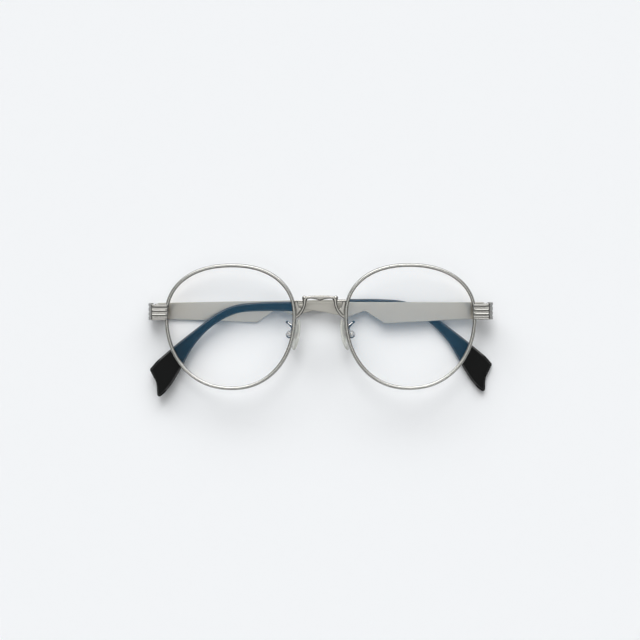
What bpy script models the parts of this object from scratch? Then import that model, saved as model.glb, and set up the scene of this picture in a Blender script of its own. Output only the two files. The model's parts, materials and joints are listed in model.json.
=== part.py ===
"""Round metal eyeglasses, folded and lying front up on their temples.

Frame of the model: +X to the wearer's left, +Y to the brow, +Z out of the front, origin on the
surface that the glasses lie on. Front pieces are built in the front's own frame (x from the
symmetry plane, y from the lens datum line, z forward of the hinge axes), temples in theirs
(along = distance from the hinge axis, deep = distance outboard of it when the temple is open).
side is +1 for the wearer's left and -1 for the right.
"""

import math

import bmesh
import bpy
from mathutils import Matrix, Vector

MM = 0.001

# Clearances
SOLDER_GAP = 0.25 * MM
RUN_GAP = 0.1 * MM
STACK_GAP = 0.3 * MM

# Rim: mid-line of the metal, a rounded outline with its widest line above the datum
RIM_CENTRE = 35.5 * MM
RIM_WIDEST = 4.6 * MM
RIM_NOSE = 25.15 * MM
RIM_TEMPLE = 26.24 * MM
RIM_TOP = 19.95 * MM
RIM_BOTTOM = 29.12 * MM
RIM_ROUND_TOP = 2.22
RIM_ROUND_BOTTOM = 2.16
RIM_FACE = 1.22 * MM
RIM_FACE_TOP = 1.46 * MM
RIM_DEPTH = 2.4 * MM
RIM_BEVEL = 0.28 * MM
RIM_POINTS = 72
RIM_FORWARD = 7.6 * MM
FACE_WRAP = math.radians(4.0)
GROOVE_DEPTH = 0.58 * MM
GROOVE_WIDTH = 1.8 * MM
RIM_SPLIT = 0.36 * MM

# Lens
LENS_RADIUS = 150.0 * MM
LENS_THICK = 1.1 * MM
LENS_RINGS = 4
LENS_STEPS = 32
BLANK_SPARE = 4.0 * MM

# Bridge: its crest, then its leg from the strut down to the foot
CREST_HEIGHT = 12.5 * MM
CREST_FALL = 0.5 * MM
CREST_HALF = 6.4 * MM
CREST_THICK = 1.25 * MM
CREST_DIP = 2.1 * MM
CREST_SHOULDER = 0.7 * MM
ARCH_TOP_AT = 3.85 * MM
ARCH_LOW_AT = 1.8 * MM
ARCH_LOW = 0.25 * MM
ARCH_CORNER = (0.9 * MM, 1.1 * MM)
STRUT_HEIGHT = 10.2 * MM
STRUT_THICK = 0.65 * MM
LEG_WIDTH = 1.15 * MM
LEG_WAIST = 6.3 * MM
LEG_LEAN = 0.3 * MM
LEG_STRAIGHT = 1.8 * MM
LEG_SPREAD = (0.65 * MM, 3.7 * MM)
LEG_TOE = (1.9 * MM, 1.7 * MM)
LEG_FOOT = 3.2 * MM
GUSSET_WIDTH = 1.5 * MM
PIERCE_TALL = 2.7 * MM
PIERCE_TAPER = 0.7 * MM
PIERCE_STRAIGHT = 1.2 * MM
PIERCE_HEEL = (0.55 * MM, 0.4 * MM)
BRIDGE_DEPTH = 1.7 * MM
BRIDGE_SET_BACK = 0.35 * MM
BRIDGE_BULGE = 0.9 * MM
BRIDGE_BEVEL = 0.15 * MM

# Hinge: three knuckles on a vertical screw, outboard of the rim
HINGE_OUT = 4.46 * MM
HINGE_LEVEL = 6.0 * MM
KNUCKLE_RADIUS = 1.25 * MM
KNUCKLE_CLEAR = 0.15 * MM
KNUCKLE_MIDDLE = 1.9 * MM
HINGE_TALL = 5.4 * MM
LEAF_THICK = 0.85 * MM
LEAF_LONG = 3.5 * MM
LEAF_STEP = 0.1 * MM
HINGE_SHANK = 0.5 * MM
HINGE_HEAD = 0.95 * MM
HEAD_TALL = 0.55 * MM
HEAD_CROWN = 0.18 * MM
ROUND_STEPS = 20

# Endpiece: a ribbed strip from the rim round the corner to the hinge
END_THICK = 1.6 * MM
END_TALL = 6.7 * MM
END_LAP = 0.54 * MM
END_PAST = 0.9 * MM
END_CORNER_RADIUS = 1.1 * MM
END_FLARE_FROM = 3.6 * MM
END_LIFT = 0.15 * MM
END_BEVEL = 0.18 * MM
END_BARS = 4
END_GROOVE = 0.42 * MM
END_GROOVE_DEPTH = 0.5 * MM

# Rim lock: two blocks behind the endpiece, drawn together by a screw
LOCK_WIDE = 2.7 * MM
LOCK_TALL = 2.2 * MM
LOCK_DEEP = 2.3 * MM
LOCK_SHANK = 0.45 * MM
LOCK_HEAD = 0.85 * MM
LOCK_BEVEL = 0.2 * MM

# Temple: a flat stamped plate with a core that runs into the acetate tip. Its outline's corners
# are (along, level over the hinge, radius)
PLATE_THICK = 1.0 * MM
PLATE_START = 0.3 * MM
PLATE_TOP = 3.65 * MM
PLATE_BEVEL = 0.15 * MM
HEEL = (-2.8 * MM, 0.3 * MM)
DEEPEST = (40.3 * MM, -5.0 * MM, 0.9 * MM)
WAIST = (48.3 * MM, 0.1 * MM, 1.3 * MM)
BELLY = (55.4 * MM, -2.5 * MM, 1.8 * MM)
KNEE = (64.0 * MM, -0.5 * MM, 6.0 * MM)
NECK = (73.5 * MM, 0.8 * MM, 3.0 * MM)
CORE_WIDE = 1.7 * MM
CORE_THICK = 0.9 * MM
CORE_INTO = 0.55 * MM
TIP_START = 76.6 * MM
TIP_THICK = 3.2 * MM
TIP_PROUD = 0.3 * MM
TIP_OVER = 0.1 * MM
TIP_BEVEL = 0.5 * MM
LEFT_RISE = math.radians(0.18)
RIGHT_RISE = math.radians(0.95)

# The tip's outline and the core's line, (along, level); the end's corners have a radius too
TIP_UPPER = [
    (TIP_START, PLATE_TOP + TIP_OVER),
    (90.0 * MM, 3.45 * MM),
    (100.5 * MM, 2.3 * MM),
    (108.0 * MM, -1.1 * MM),
    (117.2 * MM, -7.9 * MM),
    (125.6 * MM, -14.6 * MM),
    (132.4 * MM, -20.4 * MM),
]
TIP_END = [
    (134.9 * MM, -23.2 * MM, 0.9 * MM),
    (132.8 * MM, -29.2 * MM, 6.0 * MM),
    (131.6 * MM, -35.4 * MM, 0.9 * MM),
]
TIP_LOWER = [
    (129.0 * MM, -33.0 * MM),
    (125.8 * MM, -28.9 * MM),
    (121.9 * MM, -22.2 * MM),
    (117.0 * MM, -13.7 * MM),
    (109.6 * MM, -6.0 * MM),
    (100.3 * MM, -1.1 * MM),
    (90.5 * MM, -0.1 * MM),
    (TIP_START, -0.1 * MM),
]
CORE_LINE = [
    (TIP_START, 1.8 * MM),
    (90.0 * MM, 1.7 * MM),
    (100.4 * MM, 0.6 * MM),
    (109.0 * MM, -4.0 * MM),
    (118.0 * MM, -11.9 * MM),
]

# Pad arm: a wire that runs out and up from behind the rim, turns back under itself and drops
# into the round box. PAD_PIVOT is the box's screw
PAD_ARM_RADIUS = 0.5 * MM
PAD_PIVOT = (12.4 * MM, -3.2 * MM, 3.3 * MM)
ARM_LEVEL = -0.2 * MM
ARM_OUT = 2.3 * MM
ARM_UP = 1.7 * MM
ARM_FALL = 0.8 * MM
ARM_TURN = 2.0 * MM
ARM_ELBOW = (1.1 * MM, 2.6 * MM, 0.35 * MM)
ARM_ENTRY = (0.6 * MM, 1.2 * MM)
PAD_BOX_RADIUS = 1.55 * MM
PAD_BOX_CHEEK = 0.45 * MM
PAD_BOX_WEB = 0.45 * MM

# Nose pad and the stem moulded into it
PAD_TAB_THICK = 0.6 * MM
PAD_TAB_TALL = 1.7 * MM
PAD_TAB_ROUND = 0.68 * MM
PAD_TAB_SHORT = 0.1 * MM
PAD_TALL = 12.8 * MM
PAD_WIDE = 6.2 * MM
PAD_TAPER = 0.18
PAD_THICK = 1.4 * MM
PAD_BEVEL = 0.5 * MM
PAD_POINTS = 28
PAD_REACH = 2.75 * MM
PAD_LEAN = math.radians(10.0)
PAD_SPLAY = math.radians(18.0)
PAD_SCREW_SHANK = 0.38 * MM
PAD_SCREW_HEAD = 0.75 * MM

# Lens datum line's height over the origin, which lies under the middle of the whole
DATUM_LEVEL = 1.4 * MM

# What the sizes above fix
HINGE_APART = RIM_CENTRE + RIM_TEMPLE + HINGE_OUT
END_START = RIM_CENTRE + RIM_TEMPLE - END_LAP
END_CORNER = HINGE_APART + END_PAST
LEAF_FACE = KNUCKLE_RADIUS + KNUCKLE_CLEAR
PLATE_INNER = LEAF_FACE + SOLDER_GAP
PLATE_OUTER = PLATE_INNER + PLATE_THICK
TIP_OUTER = PLATE_OUTER + TIP_PROUD
CORE_MIDDLE = PLATE_INNER + CORE_INTO - CORE_THICK / 2
RIGHT_AXIS_HIGH = TIP_OUTER
LEFT_AXIS_HIGH = TIP_THICK + STACK_GAP + PLATE_OUTER
FRONT_TILT = math.asin((LEFT_AXIS_HIGH - RIGHT_AXIS_HIGH) / (2 * HINGE_APART))
FRONT_HIGH = (LEFT_AXIS_HIGH + RIGHT_AXIS_HIGH) / 2

SIDES = (("left", 1), ("right", -1))
FINISHES = {
    "satin_metal": {"color": (0.60, 0.595, 0.57), "metallic": 1.0, "roughness": 0.34},
    "brushed_metal": {"color": (0.56, 0.555, 0.54), "metallic": 1.0, "roughness": 0.42},
    "screw_metal": {"color": (0.66, 0.655, 0.64), "metallic": 1.0, "roughness": 0.25},
    "clear_lens": {"color": (0.93, 0.96, 0.97), "metallic": 0.0, "roughness": 0.02},
    "black_acetate": {"color": (0.012, 0.013, 0.016), "metallic": 0.0, "roughness": 0.1},
    "clear_silicone": {"color": (0.80, 0.83, 0.85), "metallic": 0.0, "roughness": 0.28},
}


def new_collection(name):
    collection = bpy.data.collections.new(name)
    bpy.context.scene.collection.children.link(collection)
    return collection


def make_finish(node, kind):
    """The node's own material, with the colour and gloss of its kind."""
    values = FINISHES[kind]
    material = bpy.data.materials.new(f"{node}_{kind}")
    material.use_nodes = True
    shader = material.node_tree.nodes["Principled BSDF"]
    shader.inputs["Base Color"].default_value = (*values["color"], 1.0)
    shader.inputs["Metallic"].default_value = values["metallic"]
    shader.inputs["Roughness"].default_value = values["roughness"]
    if kind == "clear_lens":
        shader.inputs["Transmission Weight"].default_value = 1.0
    return material


def add_piece(name, mesh, finish, parent):
    """A named piece of the glasses, in the frame of its parent."""
    piece = bpy.data.objects.new(name, mesh)
    PIECES.objects.link(piece)
    mesh.materials.clear()
    mesh.materials.append(make_finish(name, finish))
    piece.parent = parent
    return piece


def add_cutter(name, mesh, parent):
    """A solid that only shapes others."""
    cutter = bpy.data.objects.new(name, mesh)
    CUTTERS.objects.link(cutter)
    cutter.parent = parent
    cutter.hide_render = True
    cutter.display_type = "WIRE"
    return cutter


def add_frame(name, location, rotation=(0.0, 0.0, 0.0), parent=None):
    frame = bpy.data.objects.new(name, None)
    PIECES.objects.link(frame)
    frame.location = location
    frame.rotation_euler = rotation
    frame.parent = parent
    return frame


def combine(piece, other, operation):
    modifier = piece.modifiers.new(f"{operation.lower()}_{other.name}", "BOOLEAN")
    modifier.operation = operation
    modifier.object = other


def soften(piece, width, segments=1):
    """Bevels the sharp edges, before anything is cut out."""
    modifier = piece.modifiers.new("soft_edges", "BEVEL")
    modifier.width = width
    modifier.segments = segments
    modifier.limit_method = "ANGLE"
    modifier.angle_limit = math.radians(40)


def welded(mesh, matrix=None):
    """The mesh with its caps joined to its sides and its faces pointing out."""
    shape = bmesh.new()
    shape.from_mesh(mesh)
    bmesh.ops.remove_doubles(shape, verts=shape.verts, dist=1e-7)
    if matrix:
        bmesh.ops.transform(shape, matrix=matrix, verts=shape.verts)
    bmesh.ops.recalc_face_normals(shape, faces=shape.faces)
    shape.to_mesh(mesh)
    shape.free()
    return mesh


def curve_to_mesh(curve):
    """A curve's mesh, without the curve."""
    holder = bpy.data.objects.new(curve.name, curve)
    bpy.context.scene.collection.objects.link(holder)
    view = bpy.context.evaluated_depsgraph_get()
    mesh = bpy.data.meshes.new_from_object(holder.evaluated_get(view))
    bpy.data.objects.remove(holder)
    bpy.data.curves.remove(curve)
    return mesh


# Columns give the model's x, y, z for an outline's two directions and its depth
PLANES = {
    "xy": Matrix.Identity(4),
    "xz": Matrix(((1, 0, 0, 0), (0, 0, 1, 0), (0, 1, 0, 0), (0, 0, 0, 1))),
    "zy": Matrix(((0, 0, 1, 0), (0, 1, 0, 0), (1, 0, 0, 0), (0, 0, 0, 1))),
}


def prism(name, loops, low, high, plane="xy"):
    """Flat outlines, the second and later ones holes, filled and given a depth from low to high."""
    curve = bpy.data.curves.new(name, "CURVE")
    curve.dimensions = "2D"
    curve.fill_mode = "BOTH"
    curve.extrude = (high - low) / 2
    for loop in loops:
        spline = curve.splines.new("POLY")
        spline.points.add(len(loop) - 1)
        for point, (a, b) in zip(spline.points, loop):
            point.co = (a, b, 0.0, 1.0)
        spline.use_cyclic_u = True
    shift = Matrix.Translation((0.0, 0.0, (low + high) / 2))
    return welded(curve_to_mesh(curve), PLANES[plane] @ shift)


def tube(name, points, radius):
    """A round wire along the points."""
    curve = bpy.data.curves.new(name, "CURVE")
    curve.dimensions = "3D"
    curve.bevel_depth = radius
    curve.bevel_resolution = 2
    curve.use_fill_caps = True
    spline = curve.splines.new("POLY")
    spline.points.add(len(points) - 1)
    for point, place in zip(spline.points, points):
        point.co = (*place, 1.0)
    return welded(curve_to_mesh(curve))


def cylinder(name, radius, low, high, centre, axis="Z"):
    """A round bar along the axis, through the centre's other two coordinates."""
    shape = bmesh.new()
    bmesh.ops.create_cone(
        shape,
        cap_ends=True,
        segments=ROUND_STEPS,
        radius1=radius,
        radius2=radius,
        depth=high - low,
    )
    turn = Matrix.Rotation(-math.pi / 2, 4, "X") if axis == "Y" else Matrix.Identity(4)
    along = Vector((0, 1, 0)) if axis == "Y" else Vector((0, 0, 1))
    place = Vector(centre) + along * (low + high) / 2
    bmesh.ops.transform(shape, matrix=Matrix.Translation(place) @ turn, verts=shape.verts)
    mesh = bpy.data.meshes.new(name)
    shape.to_mesh(mesh)
    shape.free()
    return mesh


def block(name, low, high):
    """A box between two corners."""
    shape = bmesh.new()
    bmesh.ops.create_cube(shape, size=1.0)
    low, high = Vector(low), Vector(high)
    size = [max(a, b) - min(a, b) for a, b in zip(low, high)]
    place = Matrix.Translation((low + high) / 2) @ Matrix.Diagonal((*size, 1.0))
    bmesh.ops.transform(shape, matrix=place, verts=shape.verts)
    mesh = bpy.data.meshes.new(name)
    shape.to_mesh(mesh)
    shape.free()
    return mesh


def turned(name, profile, finish, parent, steps=ROUND_STEPS):
    """A piece turned from a profile of (radius, height) points, its outer side top to bottom."""
    mesh = bpy.data.meshes.new(name)
    verts = [(radius, 0.0, height) for radius, height in profile]
    mesh.from_pydata(verts, [(i, i + 1) for i in range(len(verts) - 1)], [])
    piece = add_piece(name, mesh, finish, parent)
    screw = piece.modifiers.new("turn", "SCREW")
    screw.steps = steps
    screw.render_steps = steps
    screw.use_merge_vertices = True
    screw.merge_threshold = 1e-6
    return piece


def smooth(points, per_span):
    """A curve through the points: Catmull-Rom spans, each with the same number of steps."""
    points = [Vector(p) for p in points]
    ends = [2 * points[0] - points[1], *points, 2 * points[-1] - points[-2]]
    out = []
    for before, start, end, after in zip(ends, ends[1:], ends[2:], ends[3:]):
        for step in range(per_span):
            t = step / per_span
            pull = (end - before) * t + (2 * before - 5 * start + 4 * end - after) * t**2
            pull += (3 * start - before - 3 * end + after) * t**3
            out.append(start + pull / 2)
    return [tuple(p) for p in (*out, points[-1])]


def filleted(corners, steps=4):
    """An outline of (x, y, radius) corners, each rounded by an arc of its radius."""
    out = []
    for i, (x, y, radius) in enumerate(corners):
        here = Vector((x, y))
        before = Vector(corners[i - 1][:2]) - here
        after = Vector(corners[(i + 1) % len(corners)][:2]) - here
        if not radius:
            out.append((x, y))
            continue
        half = before.angle(after) / 2
        reach = min(radius / math.tan(half), before.length / 2, after.length / 2)
        arc = reach * math.tan(half)
        middle = (before.normalized() + after.normalized()).normalized()
        centre = here + middle * arc / math.sin(half)
        start = here + before.normalized() * reach - centre
        end = here + after.normalized() * reach - centre
        sweep = start.angle_signed(end)
        for step in range(steps + 1):
            turn = Matrix.Rotation(-sweep * step / steps, 2)
            out.append(tuple(centre + turn @ start))
    return out


def ribbon(path, left, right):
    """The outline of a strip: the path moved to its left and to its right, with square ends."""
    sides = [[], []]
    for i, point in enumerate(path):
        point = Vector(point)
        back = Vector(path[max(i - 1, 0)])
        ahead = Vector(path[min(i + 1, len(path) - 1)])
        into = (point - back).normalized() if i else (ahead - point).normalized()
        out = (ahead - point).normalized() if i < len(path) - 1 else into
        normal = Vector((-into.y - out.y, into.x + out.x)).normalized()
        stretch = 1 / max(normal.dot(Vector((-into.y, into.x))), 0.5)
        sides[0].append(tuple(point + normal * left * stretch))
        sides[1].append(tuple(point - normal * right * stretch))
    return sides[0] + sides[1][::-1]


def rim_loop(offset, side=1):
    """The rim's rounded outline, moved out from the metal's mid-line by offset at the sides.

    Each quarter is a superellipse: |x / a| ** n + |y / b| ** n = 1. The offset grows over the
    top in the ratio of the wider face there.
    """
    out = []
    for i in range(RIM_POINTS):
        angle = 2 * math.pi * (i + 0.5) / RIM_POINTS
        c, s = math.cos(angle), math.sin(angle)
        across = (RIM_TEMPLE if c > 0 else RIM_NOSE) + offset
        up = RIM_TOP + offset * RIM_FACE_TOP / RIM_FACE if s > 0 else RIM_BOTTOM + offset
        power = 2 / (RIM_ROUND_TOP if s > 0 else RIM_ROUND_BOTTOM)
        x = math.copysign(abs(c) ** power, c) * across
        y = math.copysign(abs(s) ** power, s) * up
        out.append((side * x, RIM_WIDEST + y))
    return out


def rim_nose_edge(level):
    """Distance from the symmetry plane to the rim's nose edge at a level over the datum."""
    rise = level - RIM_WIDEST
    high = rise > 0
    up = RIM_TOP + RIM_FACE_TOP / 2 if high else RIM_BOTTOM + RIM_FACE / 2
    power = RIM_ROUND_TOP if high else RIM_ROUND_BOTTOM
    share = (1 - abs(rise / up) ** power) ** (1 / power)
    return RIM_CENTRE - (RIM_NOSE + RIM_FACE / 2) * share * math.cos(FACE_WRAP)


def make_rim(name, side, frame):
    """An open ring with a lens groove inside, split where the rim lock closes it."""
    half = RIM_FACE / 2
    loops = [rim_loop(half, side), rim_loop(-half, side)]
    mesh = prism(f"{name}_rim", loops, -RIM_DEPTH / 2, RIM_DEPTH / 2)
    rim = add_piece(f"{name}_rim", mesh, "satin_metal", frame)
    soften(rim, RIM_BEVEL)
    bottom = rim_loop(GROOVE_DEPTH - half, side)
    groove = prism(f"{name}_groove_cut", [bottom], -GROOVE_WIDTH / 2, GROOVE_WIDTH / 2)
    combine(rim, add_cutter(f"{name}_groove_cut", groove, frame), "DIFFERENCE")
    reach = RIM_TEMPLE - 2 * RIM_FACE
    split = block(
        f"{name}_split_cut",
        (side * reach, HINGE_LEVEL - RIM_SPLIT / 2, -RIM_DEPTH),
        (side * (RIM_TEMPLE + 2 * RIM_FACE), HINGE_LEVEL + RIM_SPLIT / 2, RIM_DEPTH),
    )
    combine(rim, add_cutter(f"{name}_split_cut", split, frame), "DIFFERENCE")


def make_lens(name, side, frame):
    """A meniscus blank, turned and then edged to the rim's groove."""
    edge = (RIM_NOSE + RIM_TEMPLE) / 2
    blank = max(edge, (RIM_TOP + RIM_BOTTOM) / 2) + BLANK_SPARE
    fall = [blank * i / LENS_RINGS for i in range(LENS_RINGS + 1)]
    level = math.sqrt(LENS_RADIUS**2 - edge**2)
    arc = [(r, math.sqrt(LENS_RADIUS**2 - r**2) - level) for r in fall]
    front = [(r, z + LENS_THICK / 2) for r, z in arc]
    back = [(r, z - LENS_THICK / 2) for r, z in arc]
    lens = turned(f"{name}_lens", front + back[::-1], "clear_lens", frame, LENS_STEPS)
    centre_x = side * (RIM_TEMPLE - RIM_NOSE) / 2
    lens.location = (centre_x, RIM_WIDEST + (RIM_TOP - RIM_BOTTOM) / 2, 0.0)
    outline = rim_loop(GROOVE_DEPTH - RIM_FACE / 2 - SOLDER_GAP, side)
    edging = prism(f"{name}_edging", [outline], -5 * LENS_THICK, 5 * LENS_THICK)
    combine(lens, add_cutter(f"{name}_edging", edging, frame), "INTERSECT")


def make_rim_lock(name, side, frame):
    """Two blocks on the rim's ends behind the endpiece, and the screw that draws them together."""
    inner = RIM_TEMPLE + RIM_FACE / 2 + SOLDER_GAP
    middle = side * (inner + LOCK_WIDE / 2)
    for part, up in (("upper", 1), ("lower", -1)):
        near = HINGE_LEVEL + up * RIM_SPLIT / 2
        far = near + up * LOCK_TALL
        low = (side * inner, min(near, far), -LOCK_DEEP / 2)
        high = (side * (inner + LOCK_WIDE), max(near, far), LOCK_DEEP / 2)
        label = f"{name}_rim_lock_{part}"
        lock = add_piece(label, block(label, low, high), "satin_metal", frame)
        soften(lock, LOCK_BEVEL)
        hole = cylinder(
            f"{label}_hole",
            LOCK_SHANK + RUN_GAP,
            HINGE_LEVEL - 2 * LOCK_TALL,
            HINGE_LEVEL + 2 * LOCK_TALL,
            (middle, 0.0, 0.0),
            axis="Y",
        )
        combine(lock, add_cutter(f"{label}_hole", hole, frame), "DIFFERENCE")
    tall = LOCK_TALL + RIM_SPLIT / 2
    profile = screw_profile(LOCK_SHANK, LOCK_HEAD, 2 * tall)
    screw = turned(f"{name}_rim_lock_screw", profile, "screw_metal", frame)
    screw.rotation_euler = (math.pi / 2, 0.0, 0.0)
    screw.location = (middle, HINGE_LEVEL - tall - RUN_GAP, 0.0)


def screw_profile(shank, head, length):
    """A cheese-head screw standing on its shank, its head's seat at zero height."""
    return [
        (0.0, HEAD_TALL),
        (head - HEAD_CROWN, HEAD_TALL),
        (head, HEAD_TALL - HEAD_CROWN),
        (head, 0.0),
        (shank, 0.0),
        (shank, -length),
        (0.0, -length),
    ]


def make_bridge(frame):
    """One sculpted piece: crest, curved legs, struts and pierced gussets, rim to rim."""
    crest_end = CREST_HEIGHT - CREST_FALL
    crest_under = CREST_HEIGHT - CREST_THICK
    foot = rim_nose_edge(LEG_FOOT) - SOLDER_GAP
    strut_top = STRUT_HEIGHT + STRUT_THICK / 2
    strut_bottom = STRUT_HEIGHT - STRUT_THICK / 2
    outer = LEG_WAIST + LEG_WIDTH / 2
    inner = LEG_WAIST - LEG_WIDTH / 2
    top = [
        (0.0, CREST_HEIGHT),
        (CREST_HALF / 2, CREST_HEIGHT - CREST_FALL / 4),
        (CREST_HALF, crest_end),
        (outer, crest_end - CREST_SHOULDER),
        (outer, strut_top),
    ]
    steps = 8
    levels = [strut_top + (LEG_FOOT - strut_top) * i / steps for i in range(steps + 1)]
    rim_side = [(rim_nose_edge(level) - SOLDER_GAP, level) for level in levels]
    under = smooth(
        [
            (foot, LEG_FOOT),
            (foot - LEG_TOE[0], LEG_FOOT + LEG_TOE[1]),
            (inner + LEG_SPREAD[0], STRUT_HEIGHT - LEG_SPREAD[1]),
            (inner, STRUT_HEIGHT - LEG_STRAIGHT),
            (inner - LEG_LEAN, STRUT_HEIGHT),
            (inner - ARCH_CORNER[0], crest_end - ARCH_CORNER[1]),
            (ARCH_TOP_AT, crest_under),
            (ARCH_LOW_AT, crest_under - ARCH_LOW),
        ],
        3,
    )
    half = top + rim_side + under[1:]
    dip = (0.0, CREST_HEIGHT - CREST_DIP)
    outline = half + [dip] + [(-x, y) for x, y in half[:0:-1]]
    far = rim_nose_edge(strut_bottom) - SOLDER_GAP - GUSSET_WIDTH
    low = strut_bottom - PIERCE_TALL
    pierce = [
        (outer, strut_bottom),
        (far, strut_bottom),
        (far - PIERCE_TAPER, low),
        (outer + PIERCE_HEEL[0], low + PIERCE_HEEL[1]),
        (outer, strut_bottom - PIERCE_STRAIGHT),
    ]
    mirrored = [(-x, y) for x, y in pierce]
    nose_rim = RIM_FORWARD + (RIM_NOSE + RIM_FACE / 2) * math.sin(FACE_WRAP)
    front = nose_rim + RIM_DEPTH / 2 - BRIDGE_SET_BACK
    mesh = prism("bridge", [outline, pierce, mirrored], front - BRIDGE_DEPTH, front)
    reach = rim_nose_edge(RIM_WIDEST)
    for vertex in mesh.vertices:
        vertex.co.z += BRIDGE_BULGE * (1 - (vertex.co.x / reach) ** 2)
    bridge = add_piece("bridge", mesh, "satin_metal", frame)
    soften(bridge, BRIDGE_BEVEL)


def endpiece_path(side):
    """The strip's middle line in plan: along the front, round the corner, flaring to the hinge."""
    back = HINGE_APART + PLATE_INNER + END_THICK / 2
    rim_face = RIM_FORWARD - RIM_TEMPLE * math.sin(FACE_WRAP) + RIM_DEPTH / 2
    ahead = rim_face + SOLDER_GAP + END_LIFT + END_THICK / 2
    centre = (END_CORNER - END_CORNER_RADIUS, ahead - END_CORNER_RADIUS)
    path = [(END_START, ahead)]
    steps = 4
    for step in range(steps + 1):
        angle = math.pi / 2 * (1 - step / steps)
        x = centre[0] + END_CORNER_RADIUS * math.cos(angle)
        path.append((x, centre[1] + END_CORNER_RADIUS * math.sin(angle)))
    path += [(back, END_FLARE_FROM), (back, PLATE_START)]
    return [(side * x, z) for x, z in path]


def make_endpiece(name, side, frame):
    """The ribbed strip: grooves part it into bars that run round the corner."""
    path = endpiece_path(side)
    half = END_THICK / 2
    low, high = HINGE_LEVEL - END_TALL / 2, HINGE_LEVEL + END_TALL / 2
    label = f"{name}_endpiece"
    mesh = prism(label, [ribbon(path, half, half)], low, high, "xz")
    endpiece = add_piece(label, mesh, "satin_metal", frame)
    soften(endpiece, END_BEVEL)
    floor = END_GROOVE_DEPTH - half
    beyond = END_THICK
    start, end = path[0], path[-1]
    long_path = [(start[0] - side * END_THICK, start[1]), *path[1:-1], (end[0], -END_THICK)]
    sides = (beyond, floor) if side > 0 else (floor, beyond)
    pitch = END_TALL / END_BARS
    grooves = bmesh.new()
    for index in range(1, END_BARS):
        level = low + pitch * index
        bounds = level - END_GROOVE / 2, level + END_GROOVE / 2
        groove = prism(f"{label}_groove_{index}", [ribbon(long_path, *sides)], *bounds, "xz")
        grooves.from_mesh(groove)
        bpy.data.meshes.remove(groove)
    cut = bpy.data.meshes.new(f"{label}_grooves")
    grooves.to_mesh(cut)
    grooves.free()
    combine(endpiece, add_cutter(f"{label}_grooves", cut, frame), "DIFFERENCE")


def make_front_hinge(name, side, frame):
    """Two knuckles on a leaf that is soldered inside the endpiece."""
    axis = side * HINGE_APART
    half, gap = HINGE_TALL / 2, KNUCKLE_MIDDLE / 2 + RUN_GAP
    clear = LEAF_FACE + RUN_GAP
    edge, notch = half - LEAF_STEP, gap + LEAF_STEP
    leaf = [(0, -edge), (LEAF_LONG, -edge), (LEAF_LONG, edge), (0, edge)]
    leaf += [(0, notch), (clear, notch), (clear, -notch), (0, -notch)]
    leaf = [(z, HINGE_LEVEL + y) for z, y in leaf]
    outer = axis + side * LEAF_FACE
    inner = axis + side * (LEAF_FACE - LEAF_THICK)
    label = f"{name}_front_hinge"
    mesh = prism(label, [leaf], min(inner, outer), max(inner, outer), "zy")
    hinge = add_piece(label, mesh, "satin_metal", frame)
    for part, low, high in (("upper", gap, half), ("lower", -half, -gap)):
        bounds = HINGE_LEVEL + low, HINGE_LEVEL + high
        knuckle = cylinder(f"{label}_{part}", KNUCKLE_RADIUS, *bounds, (axis, 0, 0), axis="Y")
        combine(hinge, add_cutter(f"{label}_{part}", knuckle, frame), "UNION")
    bounds = HINGE_LEVEL - HINGE_TALL, HINGE_LEVEL + HINGE_TALL
    bore = cylinder(f"{label}_bore", HINGE_SHANK + RUN_GAP, *bounds, (axis, 0, 0), axis="Y")
    combine(hinge, add_cutter(f"{label}_bore", bore, frame), "DIFFERENCE")
    screw = turned(
        f"{name}_hinge_screw",
        screw_profile(HINGE_SHANK, HINGE_HEAD, HINGE_TALL + RUN_GAP),
        "screw_metal",
        frame,
    )
    screw.rotation_euler = (-math.pi / 2, 0.0, 0.0)
    screw.location = (axis, HINGE_LEVEL + half + RUN_GAP, 0.0)


def make_temple_hinge(name, side, frame):
    """The middle knuckle on a leaf that is soldered inside the temple."""
    half, gap = HINGE_TALL / 2, KNUCKLE_MIDDLE / 2
    clear = LEAF_FACE + RUN_GAP
    neck = gap - LEAF_STEP
    leaf = [(0, -neck), (clear, -neck), (clear, -half), (LEAF_LONG, -half)]
    leaf += [(LEAF_LONG, half), (clear, half), (clear, neck), (0, neck)]
    leaf = [(-side * along, y) for along, y in leaf]
    label = f"{name}_temple_hinge"
    mesh = prism(label, [leaf], -LEAF_FACE, LEAF_THICK - LEAF_FACE)
    hinge = add_piece(label, mesh, "satin_metal", frame)
    knuckle = cylinder(f"{label}_knuckle", KNUCKLE_RADIUS, -gap, gap, (0, 0, 0), axis="Y")
    combine(hinge, add_cutter(f"{label}_knuckle", knuckle, frame), "UNION")
    bounds = -HINGE_TALL, HINGE_TALL
    bore = cylinder(f"{label}_bore", HINGE_SHANK + RUN_GAP, *bounds, (0, 0, 0), axis="Y")
    combine(hinge, add_cutter(f"{label}_bore", bore, frame), "DIFFERENCE")


def core_mesh(name, side, spare):
    """The flat wire inside the tip, grown by a spare all round."""
    line = smooth(CORE_LINE, 3)
    root = (TIP_START - 2 * CORE_WIDE, line[0][1])
    path = [Vector((-side * x, y)) for x, y in (root, *line)]
    path.append(path[-1] + (path[-1] - path[-2]).normalized() * spare)
    wide, thick = CORE_WIDE / 2 + spare, CORE_THICK / 2 + spare
    path = path if spare else path[:-1]
    return prism(name, [ribbon(path, wide, wide)], -CORE_MIDDLE - thick, thick - CORE_MIDDLE)


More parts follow.
